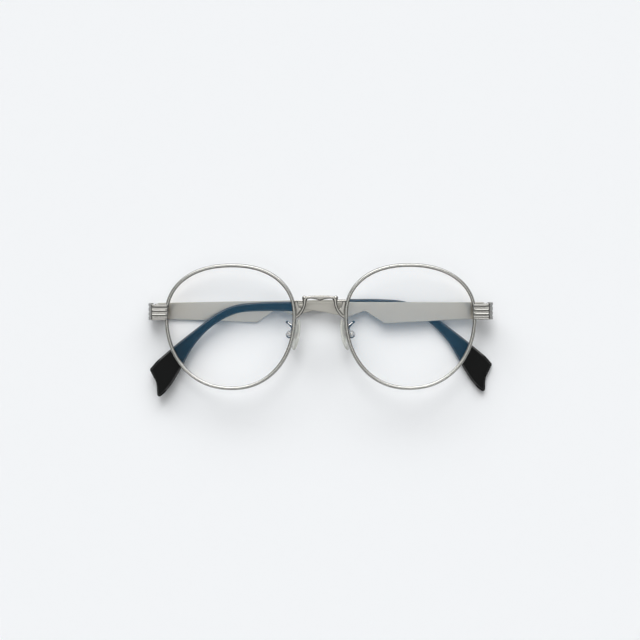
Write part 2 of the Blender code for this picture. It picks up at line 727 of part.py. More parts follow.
def make_temple(name, side, frame):
    """The stamped plate, with the core that carries the tip."""
    end = TIP_START - SOLDER_GAP
    corners = [
        (PLATE_START, PLATE_TOP, HEEL[1]),
        (PLATE_START, *HEEL),
        DEEPEST,
        WAIST,
        BELLY,
        KNEE,
        NECK,
        (end, NECK[1], 0.0),
        (end, PLATE_TOP, 0.0),
    ]
    outline = [(-side * x, y) for x, y in filleted(corners)]
    mesh = prism(f"{name}_temple", [outline], -PLATE_OUTER, -PLATE_INNER)
    temple = add_piece(f"{name}_temple", mesh, "brushed_metal", frame)
    soften(temple, PLATE_BEVEL)
    core = add_cutter(f"{name}_core", core_mesh(f"{name}_core", side, 0.0), frame)
    combine(temple, core, "UNION")


def make_tip(name, side, frame):
    """The acetate tip, bent behind the ear, with a slot for the core."""
    end = filleted([(*TIP_UPPER[-1], 0.0), *TIP_END, (*TIP_LOWER[0], 0.0)])
    outline = smooth(TIP_UPPER, 3)[:-1] + end[:-1] + smooth(TIP_LOWER, 3)
    outline = [(-side * x, y) for x, y in outline]
    label = f"{name}_temple_tip"
    mesh = prism(label, [outline], -TIP_OUTER, TIP_THICK - TIP_OUTER)
    tip = add_piece(label, mesh, "black_acetate", frame)
    soften(tip, TIP_BEVEL, 2)
    slot = add_cutter(f"{name}_slot", core_mesh(f"{name}_slot", side, SOLDER_GAP), frame)
    combine(tip, slot, "DIFFERENCE")


def make_pad_arm(name, side, frame):
    """A wire soldered behind the rim, looping back to the round box that holds the pad."""
    x, y, z = PAD_PIVOT
    rim_back = RIM_FORWARD + RIM_NOSE * math.sin(FACE_WRAP) - RIM_DEPTH / 2
    start_z = rim_back - SOLDER_GAP - PAD_ARM_RADIUS
    start_x = rim_nose_edge(ARM_LEVEL) + RIM_FACE / 2
    out_x, out_y, out_z = start_x + ARM_OUT, ARM_LEVEL + ARM_UP, start_z - ARM_FALL
    route = [
        (start_x, ARM_LEVEL, start_z),
        ((start_x + out_x) / 2, (ARM_LEVEL + out_y) / 2, (start_z + out_z) / 2),
        (out_x, out_y, out_z),
        (out_x + PAD_ARM_RADIUS, out_y + PAD_ARM_RADIUS / 2, out_z - ARM_TURN / 2),
        (out_x, out_y, out_z - ARM_TURN),
        (x - ARM_ELBOW[0], y + ARM_ELBOW[1], z + ARM_ELBOW[2]),
        (x - ARM_ENTRY[0], y + ARM_ENTRY[1], z),
    ]
    points = [(side * a, b, c) for a, b, c in smooth(route, 3)]
    label = f"{name}_pad_arm"
    arm = add_piece(label, tube(label, points, PAD_ARM_RADIUS), "satin_metal", frame)
    slot_half = PAD_TAB_THICK / 2 + 2 * RUN_GAP
    web = PAD_BOX_RADIUS - PAD_BOX_WEB
    box_half = slot_half + PAD_BOX_CHEEK
    centre = (side * x, y, 0.0)
    box = cylinder(f"{label}_box", PAD_BOX_RADIUS, z - box_half, z + box_half, centre)
    combine(arm, add_cutter(f"{label}_box", box, frame), "UNION")
    slot = block(
        f"{label}_slot",
        (side * (x - 2 * PAD_BOX_RADIUS), y - 2 * PAD_BOX_RADIUS, z - slot_half),
        (side * (x + web), y + web, z + slot_half),
    )
    combine(arm, add_cutter(f"{label}_slot", slot, frame), "DIFFERENCE")
    bore_radius = PAD_SCREW_SHANK + RUN_GAP
    bore = cylinder(f"{label}_bore", bore_radius, z - 2 * box_half, z + 2 * box_half, centre)
    combine(arm, add_cutter(f"{label}_bore", bore, frame), "DIFFERENCE")
    profile = screw_profile(PAD_SCREW_SHANK, PAD_SCREW_HEAD, 2 * box_half + RUN_GAP)
    screw = turned(f"{name}_pad_screw", profile, "screw_metal", frame)
    screw.location = (side * x, y, z + box_half + RUN_GAP)


def make_pad(name, side, frame):
    """The soft pad and the stem that the box holds, both rocking on the box's screw."""
    x, y, z = PAD_PIVOT
    pivot = add_frame(f"{name}_pad_pivot", (side * x, y, z), parent=frame)
    lean = Matrix.Rotation(side * PAD_LEAN, 4, "Z")
    splay = Matrix.Rotation(-side * PAD_SPLAY, 4, "Y")
    place = Matrix.Translation((-side * PAD_REACH, 0.0, 0.0)) @ lean @ splay
    outline = []
    for step in range(PAD_POINTS):
        angle = 2 * math.pi * step / PAD_POINTS
        tall = math.sin(angle) * PAD_TALL / 2
        wide = math.cos(angle) * PAD_WIDE / 2 * (1 - PAD_TAPER * math.sin(angle))
        outline.append((wide, tall))
    label = f"{name}_nose_pad"
    mesh = prism(label, [outline], -PAD_THICK / 2, PAD_THICK / 2, "zy")
    mesh.transform(place)
    pad = add_piece(label, mesh, "clear_silicone", pivot)
    soften(pad, PAD_BEVEL, 2)
    foot = PAD_REACH - PAD_TAB_SHORT
    half = PAD_TAB_TALL / 2
    shapes = {}
    for part, extra in (("stem", 0.0), ("pocket", SOLDER_GAP)):
        tall = half + extra
        corners = [(-foot - extra, -tall, 0.0), (tall, -tall, PAD_TAB_ROUND)]
        corners += [(tall, tall, PAD_TAB_ROUND), (-foot - extra, tall, 0.0)]
        loop = [(side * a, b) for a, b in filleted(corners)]
        thick = PAD_TAB_THICK / 2 + extra
        shapes[part] = prism(f"{name}_pad_{part}", [loop], -thick, thick)
    stem = add_piece(f"{name}_pad_stem", shapes["stem"], "screw_metal", pivot)
    combine(pad, add_cutter(f"{name}_pad_pocket", shapes["pocket"], pivot), "DIFFERENCE")
    reach = 2 * PAD_TAB_THICK
    hole = cylinder(f"{name}_stem_hole", PAD_SCREW_SHANK + RUN_GAP, -reach, reach, (0, 0, 0))
    combine(stem, add_cutter(f"{name}_stem_hole", hole, pivot), "DIFFERENCE")


def make_front():
    """Everything that the bridge joins, tilted because the temples lie stacked under it."""
    front = add_frame("front_frame", (0.0, DATUM_LEVEL, FRONT_HIGH), (0.0, -FRONT_TILT, 0.0))
    make_bridge(front)
    for name, side in SIDES:
        place = (side * RIM_CENTRE, 0.0, RIM_FORWARD)
        rim_frame = add_frame(f"{name}_rim_frame", place, (0.0, side * FACE_WRAP, 0.0), front)
        make_rim(name, side, rim_frame)
        make_lens(name, side, rim_frame)
        make_rim_lock(name, side, rim_frame)
        make_endpiece(name, side, front)
        make_front_hinge(name, side, front)
        make_pad_arm(name, side, front)
        make_pad(name, side, front)


def make_temples():
    """Both temples folded flat, the left over the right, each on its hinge axis."""
    heights = {"left": LEFT_AXIS_HIGH, "right": RIGHT_AXIS_HIGH}
    rises = {"left": LEFT_RISE, "right": RIGHT_RISE}
    apart = HINGE_APART * math.cos(FRONT_TILT)
    for name, side in SIDES:
        place = (side * apart, DATUM_LEVEL + HINGE_LEVEL, heights[name])
        axis = add_frame(f"{name}_hinge_axis", place)
        make_temple_hinge(name, side, axis)
        turn = (0.0, 0.0, -side * rises[name])
        plane = add_frame(f"{name}_temple_plane", (0.0, 0.0, 0.0), turn, axis)
        make_temple(name, side, plane)
        make_tip(name, side, plane)


for leftover in list(bpy.data.objects):
    bpy.data.objects.remove(leftover)

PIECES = new_collection("round_eyeglasses")
CUTTERS = new_collection("eyeglasses_cutters")
make_front()
make_temples()
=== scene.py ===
# %% [markdown]
# # Round metal eyeglasses, folded
#
# The glasses lie front up on their folded temples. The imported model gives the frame: where every
# part sits and which body it moves with. This lesson dresses that frame. Every visible piece is a
# surface worked out with numpy from a few sizes, and every finish is made of shader nodes.

# %% Load the frame
import json
import math

import bmesh
import bpy
import numpy as np
from mathutils import Matrix, Vector


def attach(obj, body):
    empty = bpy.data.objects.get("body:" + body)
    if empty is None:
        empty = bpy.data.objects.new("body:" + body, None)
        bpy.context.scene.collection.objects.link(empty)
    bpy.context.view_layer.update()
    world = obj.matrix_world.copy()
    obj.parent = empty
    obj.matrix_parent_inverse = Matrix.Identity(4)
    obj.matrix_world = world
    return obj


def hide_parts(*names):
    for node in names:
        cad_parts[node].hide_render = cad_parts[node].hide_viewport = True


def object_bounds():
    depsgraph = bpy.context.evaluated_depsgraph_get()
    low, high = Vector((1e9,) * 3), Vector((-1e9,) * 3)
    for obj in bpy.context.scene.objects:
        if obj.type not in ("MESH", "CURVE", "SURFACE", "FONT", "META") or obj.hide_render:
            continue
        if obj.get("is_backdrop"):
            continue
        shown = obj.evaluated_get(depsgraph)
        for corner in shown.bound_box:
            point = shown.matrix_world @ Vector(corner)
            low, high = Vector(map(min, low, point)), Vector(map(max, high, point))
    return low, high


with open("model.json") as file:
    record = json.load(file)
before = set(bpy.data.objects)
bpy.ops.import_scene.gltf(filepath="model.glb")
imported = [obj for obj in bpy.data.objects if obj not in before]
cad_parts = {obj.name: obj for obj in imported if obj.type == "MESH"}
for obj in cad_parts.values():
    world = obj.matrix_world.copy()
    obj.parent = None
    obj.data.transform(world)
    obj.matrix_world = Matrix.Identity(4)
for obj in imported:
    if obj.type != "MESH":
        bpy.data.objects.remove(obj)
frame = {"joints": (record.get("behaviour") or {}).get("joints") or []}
cad_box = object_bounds()
MM = 0.001
SIDES = (("left", 1), ("right", -1))

# %% [markdown]
# ## Frames to measure in
#
# A pair of glasses is easiest to describe part by part, each in the frame of what carries it. The
# front's frame has x from the bridge to the wearer's left, y up from the lenses' middle line and z
# out of the front. It leans by a degree because the temples lie stacked under it. All of that
# follows from the two hinge axes, which the frame gives. Shapes below are in millimetres in these
# frames, and only the last step puts them in place, in metres.

# %% Frames of the front, the rims, the temples and the pads
HINGE_LEVEL = 6.0
RIM_CENTRE = 35.5
RIM_FORWARD = 7.6
FACE_WRAP = math.radians(4.0)
TEMPLE_RISE = {"left": math.radians(0.18), "right": math.radians(0.95)}


def joint_place(name):
    """Where a joint of the frame turns, in millimetres."""
    found = [joint for joint in frame["joints"] if joint["name"] == name]
    return Vector(found[0]["pos_m"]) / MM


hinge_place = {name: joint_place(f"{name}_temple_fold") for name, _ in SIDES}
across = (hinge_place["left"] - hinge_place["right"]).normalized()
forward = across.cross(Vector((0, 1, 0)))
middle = (hinge_place["left"] + hinge_place["right"]) / 2 - Vector((0, HINGE_LEVEL, 0))
front_turn = Matrix((across, (0, 1, 0), forward)).transposed().to_4x4()
FRONT = Matrix.Translation(middle) @ front_turn
RIM_FRAME, TEMPLE_FRAME, HINGE_FRAME, PAD_FRAME = {}, {}, {}, {}
for name, side in SIDES:
    wrap = Matrix.Rotation(side * FACE_WRAP, 4, "Y")
    RIM_FRAME[name] = FRONT @ Matrix.Translation((side * RIM_CENTRE, 0, RIM_FORWARD)) @ wrap
    HINGE_FRAME[name] = Matrix.Translation(hinge_place[name])
    TEMPLE_FRAME[name] = HINGE_FRAME[name] @ Matrix.Rotation(-side * TEMPLE_RISE[name], 4, "Z")
    PAD_FRAME[name] = Matrix.Translation(joint_place(f"{name}_pad_rock")) @ front_turn
print("front leans", round(math.degrees(math.atan2(across.z, across.x)), 3), "degrees")

# %% [markdown]
# ## Surfaces from arrays
#
# Nearly everything on a pair of glasses is a section carried along a path: a wire, a rim, a bar, a
# plate's rounded edge, a turned screw. So one helper takes rows of section points and joins them
# into a closed skin. It could be done with curve bevels, but an array of points is easier to
# shape: a groove or a crown is one more term in a formula.


# %% Skins and curves
def skin(rows, ends="capped"):
    """Points and faces of a skin over rows of points, an array (rows, around, 3).

    Each row is a closed loop. With ends "capped" a flat face closes the first and the last row,
    with "joined" the last row meets the first, and with "poles" both have shrunk to a point or a
    line, so that merging closes them.
    """
    count, around = rows.shape[:2]
    spans = count if ends == "joined" else count - 1
    here = np.arange(spans)[:, None] * around
    ahead = (np.arange(spans)[:, None] + 1) % count * around
    column = np.arange(around)[None, :]
    beside = (column + 1) % around
    quads = np.stack([here + column, here + beside, ahead + beside, ahead + column], axis=-1)
    faces = quads.reshape(-1, 4).tolist()
    if ends == "capped":
        faces.append(list(range(around))[::-1])
        faces.append(list(range((count - 1) * around, count * around)))
    return rows.reshape(-1, 3), faces


def moved(part, matrix):
    """A skin carried to another place by a 4 by 4 matrix."""
    points, faces = part
    m = np.array(matrix)
    return points @ m[:3, :3].T + m[:3, 3], faces


def unit(vectors):
    """Vectors brought to length 1."""
    return vectors / np.linalg.norm(vectors, axis=1, keepdims=True)


def aside(line):
    """The unit vectors to the left of a line in a plane."""
    along = unit(np.gradient(line, axis=0))
    return np.c_[-along[:, 1], along[:, 0]]


def run_along(line):
    """How far along a line each of its points lies."""
    return np.r_[0, np.cumsum(np.linalg.norm(np.diff(line, axis=0), axis=1))]


def bent(value, power):
    """A cosine or sine raised to a power with its sign kept, which squares a circle's shoulders."""
    return np.sign(value) * np.abs(value) ** power


def turns(count):
    """Equal angles once round, without the last."""
    return np.linspace(0, 2 * math.pi, count, endpoint=False)


def smooth(points, steps=8):
    """A curve through the points, in Catmull-Rom spans: each span's cubic leaves a point in the
    direction of the chord between that point's neighbours."""
    p = np.asarray(points, float)
    p = np.vstack([2 * p[0] - p[1], p, 2 * p[-1] - p[-2]])
    t = np.linspace(0, 1, steps, endpoint=False)[:, None]
    spans = []
    for a, b, c, d in zip(p, p[1:], p[2:], p[3:]):
        bend = (c - a) * t + (2 * a - 5 * b + 4 * c - d) * t**2 + (3 * b - a - 3 * c + d) * t**3
        spans.append(b + bend / 2)
    return np.vstack([*spans, p[-2:-1]])


def filleted(corners, steps=8):
    """A closed outline of (x, y, radius) corners. A radius turns its corner into an arc that
    touches both edges, its centre on the corner's bisector."""
    out = []
    for i, (x, y, radius) in enumerate(corners):
        here = Vector((x, y))
        if not radius:
            out.append((x, y))
            continue
        before = Vector(corners[i - 1][:2]) - here
        after = Vector(corners[(i + 1) % len(corners)][:2]) - here
        half = before.angle(after) / 2
        reach = min(radius / math.tan(half), before.length / 2, after.length / 2)
        arc = reach * math.tan(half)
        bisector = (before.normalized() + after.normalized()).normalized()
        centre = here + bisector * arc / math.sin(half)
        start = here + before.normalized() * reach - centre
        sweep = start.angle_signed(here + after.normalized() * reach - centre)
        for step in range(steps + 1):
            out.append(centre + Matrix.Rotation(-sweep * step / steps, 2) @ start)
    return np.array([tuple(p) for p in out])


def inset(outline, distance):
    """An outline moved inwards: each point goes along the sum of its two edges' normals, divided
    by one plus their cosine, so that both edges move by the distance."""
    edge = unit(np.roll(outline, -1, axis=0) - outline)
    x, y = outline.T
    area = np.sum(x * np.roll(y, -1) - np.roll(x, -1) * y)
    normal = np.stack([-edge[:, 1], edge[:, 0]], axis=1) * np.sign(area)
    before = np.roll(normal, 1, axis=0)
    cosine = np.sum(normal * before, axis=1, keepdims=True)
    return outline + distance * (normal + before) / (1 + cosine)


def slab(outline, low, high, edge, steps=4):
    """A plate between two heights, its edges rounded by quarter circles of radius edge."""
    angle = np.linspace(0, math.pi / 2, steps + 1)
    drawn_in, climb = edge * (1 - np.sin(angle)), edge * (1 - np.cos(angle))
    heights = np.r_[low + climb, high - climb[::-1]]
    rings = zip(np.r_[drawn_in, drawn_in[::-1]], heights)
    return skin(np.array([np.c_[inset(outline, d), np.full(len(outline), h)] for d, h in rings]))


def bar(left, right, front, back, squareness, around=40):
    """A bar between two edge curves, (n, 2) points each, and between two heights. Its section is
    a superellipse: |across| ** squareness + |deep| ** squareness = 1."""
    wide = bent(np.cos(turns(around)), 2 / squareness)
    deep = bent(np.sin(turns(around)), 2 / squareness)
    flat = ((left + right) / 2)[:, None] + ((right - left) / 2)[:, None] * wide[None, :, None]
    height = (front + back) / 2 + (front - back) / 2 * deep
    return skin(np.dstack([flat, np.broadcast_to(height, flat.shape[:2])]))


def swept(radius, height, angle):
    """Points at a radius, a height and an angle about the Z axis."""
    return np.dstack([radius * np.cos(angle), radius * np.sin(angle), height + 0 * angle])


def turned(profile, around=48):
    """A shape turned about the Z axis: each (radius, height) point becomes a ring."""
    radius, height = np.array(profile, float).T[:, :, None]
    return skin(swept(radius, height, turns(around)), "poles")


def collar(outline, around=64):
    """A closed (radius, height) outline turned about the Z axis, leaving a bore."""
    return skin(swept(*outline.T, turns(around)[:, None]), "joined")


def wire(path, radius, around=28):
    """A round wire: a circle carried along the path, its frame turned no more than the path
    bends, so that it doesn't twist."""
    along = unit(np.gradient(path, axis=0))
    normal = [np.cross(along[0], (0, 0, 1))]
    for direction in along:
        kept = normal[-1] - direction * (normal[-1] @ direction)
        normal.append(kept / np.linalg.norm(kept))
    normal = np.array(normal[1:])
    other = np.cross(along, normal)
    angle = turns(around)[None, :, None]
    circle = normal[:, None] * np.cos(angle) + other[:, None] * np.sin(angle)
    return skin(path[:, None] + radius * circle)


print("a 1 mm wire has", len(wire(smooth([(0, 0, 0), (5, 1, 0), (9, 4, 2)]), 0.5)[0]), "points")

# %% [markdown]
# ## From skins to pieces
#
# Some pieces are cast or soldered from several bars. Their skins overlap, and a Remesh modifier
# with small voxels melts them into one surface, with the little fillets that solder leaves. Pieces
# that are one skin skip that. Each finished piece has its place in its mesh, rides on its body and
# stands for its node of the frame. The marks for painted light are measured on the finished mesh:
# sides and hollows get painted shade, and edges that stand out get a painted highlight.

# %% Making pieces
SHARP = math.radians(38)
SAME_PLACE, TOO_SHORT = 1e-7, 1e-8
# Depth of the painted shade on surfaces that face a given point
TOWARD_SHADE = 1.1
RIDGE_FALL = 0.45


def placed(name, data):
    """A new object in the scene."""
    holder = bpy.data.objects.new(name, data)
    bpy.context.scene.collection.objects.link(holder)
    return holder


def mesh_of(name, parts, place):
    """One mesh from skins in millimetres, merged, facing outwards and put in place in metres."""
    points, faces, start = [], [], 0
    for part_points, part_faces in parts:
        points.append(part_points)
        faces += [[index + start for index in face] for face in part_faces]
        start += len(part_points)
    mesh = bpy.data.meshes.new(name)
    mesh.from_pydata(moved((np.vstack(points), None), place)[0] * MM, [], faces)
    shape = bmesh.new()
    shape.from_mesh(mesh)
    bmesh.ops.remove_doubles(shape, verts=shape.verts, dist=SAME_PLACE)
    bmesh.ops.dissolve_degenerate(shape, edges=shape.edges, dist=TOO_SHORT)
    bmesh.ops.recalc_face_normals(shape, faces=shape.faces)
    shape.to_mesh(mesh)
    shape.free()
    return mesh


def through(mesh, *modifiers):
    """The mesh after modifiers, each given as a type and its settings."""
    holder = placed("holder", mesh)
    for kind, settings in modifiers:
        modifier = holder.modifiers.new(kind, kind)
        for key, value in settings.items():
            setattr(modifier, key, value)
    view = bpy.context.evaluated_depsgraph_get()
    made = bpy.data.meshes.new_from_object(holder.evaluated_get(view))
    bpy.data.objects.remove(holder)
    return made


def melted(mesh, voxel, soften):
    """Overlapping skins as one surface, its steps smoothed away in so many rounds."""
    fine = {"mode": "VOXEL", "voxel_size": voxel * MM, "adaptivity": 0.0}
    return through(mesh, ("REMESH", fine), ("SMOOTH", {"factor": 0.5, "iterations": soften}))


def without(mesh, cutter_parts, place):
    """The mesh with other skins cut out of it."""
    cutter = placed("cutter", mesh_of("cutter", cutter_parts, place))
    made = through(mesh, ("BOOLEAN", {"operation": "DIFFERENCE", "object": cutter}))
    bpy.data.objects.remove(cutter)
    return made


def neighbour_mean(values, ends, others, degree):
    """Each vertex's mean over the vertices that an edge joins it to."""
    sums = [np.bincount(ends, values[others, k], len(values)) for k in range(values.shape[1])]
    return np.stack(sums, axis=1) / degree[:, None]


def mark_painted_light(mesh, edge, shade_toward, rounds=10):
    """Three values on each vertex for the shaders' painted light: facing, which is |n . forward|;
    relief, how far it stands out of the smoothed surface, in millimetres; and ridge, the mask of
    a painted highlight, which is 1 where the relief is edge and falls to 0 where it is RIDGE_FALL
    times that more or less. With no edge there is no ridge. A surface that faces a given place has
    its facing lowered by up to a set depth, which deepens its painted shade."""
    count = len(mesh.vertices)
    points, normals = np.empty(count * 3), np.empty(count * 3)
    mesh.vertices.foreach_get("co", points)
    mesh.vertex_normals.foreach_get("vector", normals)
    points, normals = points.reshape(-1, 3), normals.reshape(-1, 3)
    edges = np.empty(len(mesh.edges) * 2, dtype=np.int64)
    mesh.edges.foreach_get("vertices", edges)
    a, b = edges.reshape(-1, 2).T
    ends, others = np.r_[a, b], np.r_[b, a]
    degree = np.maximum(np.bincount(ends, minlength=count), 1)
    smoothed = points
    for _ in range(rounds):
        smoothed = (smoothed + neighbour_mean(smoothed, ends, others, degree)) / 2
    relief = np.sum((points - smoothed) * normals, axis=1) / MM
    facing = np.abs(normals @ np.array(forward))
    # Painted shade: facing falls on the surfaces that face the given point.
    if shade_toward is not None:
        towards = np.sum(normals * unit(shade_toward - points), axis=1)
        facing = facing - TOWARD_SHADE * np.clip(towards, 0, 1)
    # The ridge is the mask of a painted highlight on edges that stand out.
    ridge = np.zeros(count)
    if edge:
        ridge = np.clip(1 - np.abs(relief / edge - 1) / RIDGE_FALL, 0, 1)
    for label, values in (("relief", relief), ("facing", facing), ("ridge", ridge)):
        mesh.attributes.new(label, "FLOAT", "POINT").data.foreach_set("value", values)


def add_piece(name, mesh, finish, body, node, edge=None, shade_toward=None):
    """A finished piece: smooth but for its sharp edges, riding on its body."""
    mesh.name = name
    mark_painted_light(mesh, edge, shade_toward)
    mesh.shade_smooth()
    mesh.set_sharp_from_angle(angle=SHARP)
    mesh.materials.clear()
    mesh.materials.append(finish)
    piece = placed(name, mesh)
    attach(piece, body)
    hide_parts(node)
    print(f"{name}: {len(mesh.polygons)} faces")


# %% [markdown]
# ## Shared shader groups
#
# The metal is bead-blasted and lightly brushed, which shows as tiny changes in gloss and slope.
# Image textures would slide and need unwrapping, so two node groups do the work: one makes grain
# from the object's own coordinates, drawn out along an axis where the metal is brushed, and one
# turns the marks left on the mesh into painted shade and painted highlights. A few small helpers
# keep the shaders short: an input takes either a value or another node's output.


# %% Grain and wear
def feed(tree, socket, value):
    """Gives an input its value, or its link where the value is another node's output."""
    if isinstance(value, bpy.types.NodeSocket):
        tree.links.new(value, socket)
    else:
        socket.default_value = value


def set_inputs(tree, node, **inputs):
    """Feeds inputs by name, with _ for a space."""
    for label, value in inputs.items():
        feed(tree, node.inputs[label.replace("_", " ")], value)
    return node


def add_node(tree, kind, settings=None, **inputs):
    """A node with its settings and inputs."""
    node = tree.nodes.new(kind)
    for key, value in (settings or {}).items():
        setattr(node, key, value)
    return set_inputs(tree, node, **inputs)


def add_math(tree, operation, *inputs, kind="ShaderNodeMath", output=0):
    """The output of a math node whose inputs come in order."""
    node = add_node(tree, kind, {"operation": operation})
    for socket, value in zip(node.inputs, inputs):
        feed(tree, socket, value)
    return node.outputs[output]


def mixed(tree, share, first, second):
    """Two colours mixed."""
    node = add_node(tree, "ShaderNodeMix", {"data_type": "RGBA"}, Factor=share)
    feed(tree, node.inputs[6], first)
    feed(tree, node.inputs[7], second)
    return node.outputs[2]


def ranged(tree, value, low, high, start=0.0, end=1.0):
    """A value that runs from start to end, spread over low to high."""
    limits = {"From_Min": start, "From_Max": end, "To_Min": low, "To_Max": high}
    return add_node(tree, "ShaderNodeMapRange", Value=value, **limits).outputs["Result"]


def new_group(name, inputs, outputs):
    """An empty shader group with its inputs' outlets and its outputs' inlets."""
    group = bpy.data.node_groups.new(name, "ShaderNodeTree")
    for label, kind, value in inputs:
        socket = group.interface.new_socket(label, in_out="INPUT", socket_type=kind)
        socket.default_value = value
    for label, kind in outputs:
        group.interface.new_socket(label, in_out="OUTPUT", socket_type=kind)
    start = group.nodes.new("NodeGroupInput").outputs
    return group, start, group.nodes.new("NodeGroupOutput")


VECTOR = "ShaderNodeVectorMath"
FLOAT_SOCKET, VECTOR_SOCKET = "NodeSocketFloat", "NodeSocketVector"


def grain_group():
    """Grain: two noises of unlike size on Object coordinates, added in the shares 0.7 and 0.3.
    Mask is their sum, from about 0 to 1, and Slope the normal bumped by the finer one."""
    sizes = [("Size", FLOAT_SOCKET, 4000.0), ("Bump", FLOAT_SOCKET, 0.1)]
    group, start, end = new_group(
        "metal grain",
        [("Stretch", VECTOR_SOCKET, (1.0, 1.0, 1.0)), *sizes],
        [("Mask", FLOAT_SOCKET), ("Slope", VECTOR_SOCKET)],
    )
    place = add_node(group, "ShaderNodeTexCoord").outputs["Object"]
    drawn = add_math(group, "MULTIPLY", place, start["Stretch"], kind=VECTOR)
    fine = {"Vector": drawn, "Scale": start["Size"], "Detail": 3.0, "Roughness": 0.6}
    broad = {"Vector": place, "Scale": 260.0, "Detail": 2.0}
    fine, broad = [add_node(group, "ShaderNodeTexNoise", **n).outputs["Fac"] for n in (fine, broad)]
    both = add_node(group, "ShaderNodeMix", {"data_type": "FLOAT"}, Factor=0.3, A=fine, B=broad)
    bump = add_node(group, "ShaderNodeBump", Distance=0.00002, Height=fine, Strength=start["Bump"])
    set_inputs(group, end, Mask=both.outputs["Result"], Slope=bump.outputs["Normal"])
    return group


def painted_light_group():
    """Painted shade where a surface turns away from the front and in hollows, and the full colour
    on the rest. The first output rises with facing from Facing Low to Facing High, plus relief
    times
    Relief Weight, kept in 0 to 1; the second is the mask of the painted highlight on edges."""
    limits = [("Facing Low", 0.1), ("Facing High", 0.75), ("Relief Weight", 8.0)]
    group, start, end = new_group(
        "painted shade and highlight",
        [(label, FLOAT_SOCKET, value) for label, value in limits],
        [("Polish", FLOAT_SOCKET), ("Ridge", FLOAT_SOCKET)],
    )
    facing, relief, ridge = [
        add_node(group, "ShaderNodeAttribute", {"attribute_name": name}).outputs["Fac"]
        for name in ("facing", "relief", "ridge")
    ]
    # Painted shade where the surface turns from the front or sinks into a hollow.
    turned_to_front = ranged(group, facing, 0.0, 1.0, start["Facing Low"], start["Facing High"])
    unshaded = add_math(group, "MULTIPLY_ADD", relief, start["Relief Weight"], turned_to_front)
    unshaded.node.use_clamp = True
    set_inputs(group, end, Polish=unshaded, Ridge=ridge)
    return group


GRAIN = grain_group()
PAINTED_LIGHT = painted_light_group()
print("groups:", [group.name for group in bpy.data.node_groups])

# %% [markdown]
# ## Metal
#
# All the metal is one warm grey alloy, but each piece has a finish of its own. The rims are satin.
# The bridge is cast, with painted shade where it turns away from the front, and so are the ribbed
# endpieces, whose grooves get dark painted shade. The wire of the pad arms is polished, the temples
# are brushed along their length, and the small screws are bright. Each metal has painted shade on
# its sides and in its hollows, and a painted highlight on edges that stand out. The colour goes
# straight on the shader, and the grain moves the roughness a little to either side of its middle
# value.


# %% Metal finishes
def new_material(name):
    """A material, its node tree and its shader."""
    material = bpy.data.materials.new(name)
    material.use_nodes = True
    return material, material.node_tree, material.node_tree.nodes["Principled BSDF"]


def add_group(tree, group, **inputs):
    """A shared group's outputs."""
    return add_node(tree, "ShaderNodeGroup", {"node_tree": group}, **inputs).outputs


def shade(colour, times=1):
    """A colour multiplied by a number, with an alpha of 1."""
    return (*[times * c for c in colour], 1)


def metal(name, colour, shade_times, roughness, spread, grain, painted_light=(0.1, 0.75, 8.0), ridge=1.45):
    """A metal whose roughness runs from roughness - spread to roughness + spread with the grain.
    Its colour is multiplied by one factor for painted shade where the surface turns from the front
    or sinks into a hollow, and by another for a painted highlight on the marked edges, and moves by
    a twentieth with the grain. The grain is its stretch, size and bump, and the painted light's
    settings are its lowest and highest facing and its relief weight."""
    material, tree, shader = new_material(name)
    stretch, size, bump = grain
    low, high, relief = painted_light
    grain = add_group(tree, GRAIN, Stretch=stretch, Size=size, Bump=bump)
    painted_light = add_group(tree, PAINTED_LIGHT, Facing_Low=low, Facing_High=high, Relief_Weight=relief)
    gloss = ranged(tree, grain["Mask"], roughness - spread, roughness + spread, 0.3, 0.7)
    fleck = ranged(tree, grain["Mask"], 0.95, 1.05, 0.3, 0.7)
    # Painted shade on sides and in hollows, then a painted highlight on the marked edges.
    tint = mixed(tree, painted_light["Polish"], shade(colour, shade_times), shade(colour))
    rubbed = mixed(tree, painted_light["Ridge"], tint, shade(colour, ridge))
    flecked = add_math(tree, "SCALE", rubbed, kind=VECTOR)
    feed(tree, flecked.node.inputs["Scale"], fleck)
    set_inputs(tree, shader, Metallic=1.0, Roughness=gloss, Base_Color=flecked)
    set_inputs(tree, shader, Normal=grain["Slope"])
    return material


EVEN = (1.0, 1.0, 1.0)
ALONG_X = (0.02, 1.0, 1.0)
BLASTED, DRAWN, BRUSH = (EVEN, 5000.0, 0.06), (EVEN, 6000.0, 0.02), (ALONG_X, 9000.0, 0.08)
TURNED = (EVEN, 6000.0, 0.04)
# Facing low, facing high and relief weight of the painted shade, then each metal with its colour,
# its painted shade factor, roughness, spread, grain and, last, its painted highlight factor
CAST_SHADE, RIB_SHADE, WIRE_SHADE = (0.3, 0.93, 8.0), (0.25, 0.9, 3.0), (0.76, 0.97, 2.0)
SATIN = metal("satin_metal", (0.57, 0.57, 0.54), 0.25, 0.25, 0.04, BLASTED)
CAST = metal("cast_metal", (0.53, 0.52, 0.485), 0.03, 0.22, 0.04, BLASTED, CAST_SHADE)
RIBBED = metal("ribbed_metal", (0.40, 0.395, 0.372), 0.24, 0.22, 0.04, BLASTED, RIB_SHADE, 1.2)
WIRE = metal("polished_wire", (0.66, 0.66, 0.66), 0.03, 0.15, 0.03, DRAWN, WIRE_SHADE)
BRUSHED = metal("brushed_metal", (0.475, 0.465, 0.425), 0.5, 0.34, 0.06, BRUSH)
BRIGHT = metal("screw_metal", (0.56, 0.55, 0.52), 0.4, 0.2, 0.04, TURNED)
print("metals:", [material.name for material in (SATIN, CAST, RIBBED, WIRE, BRUSHED, BRIGHT)])

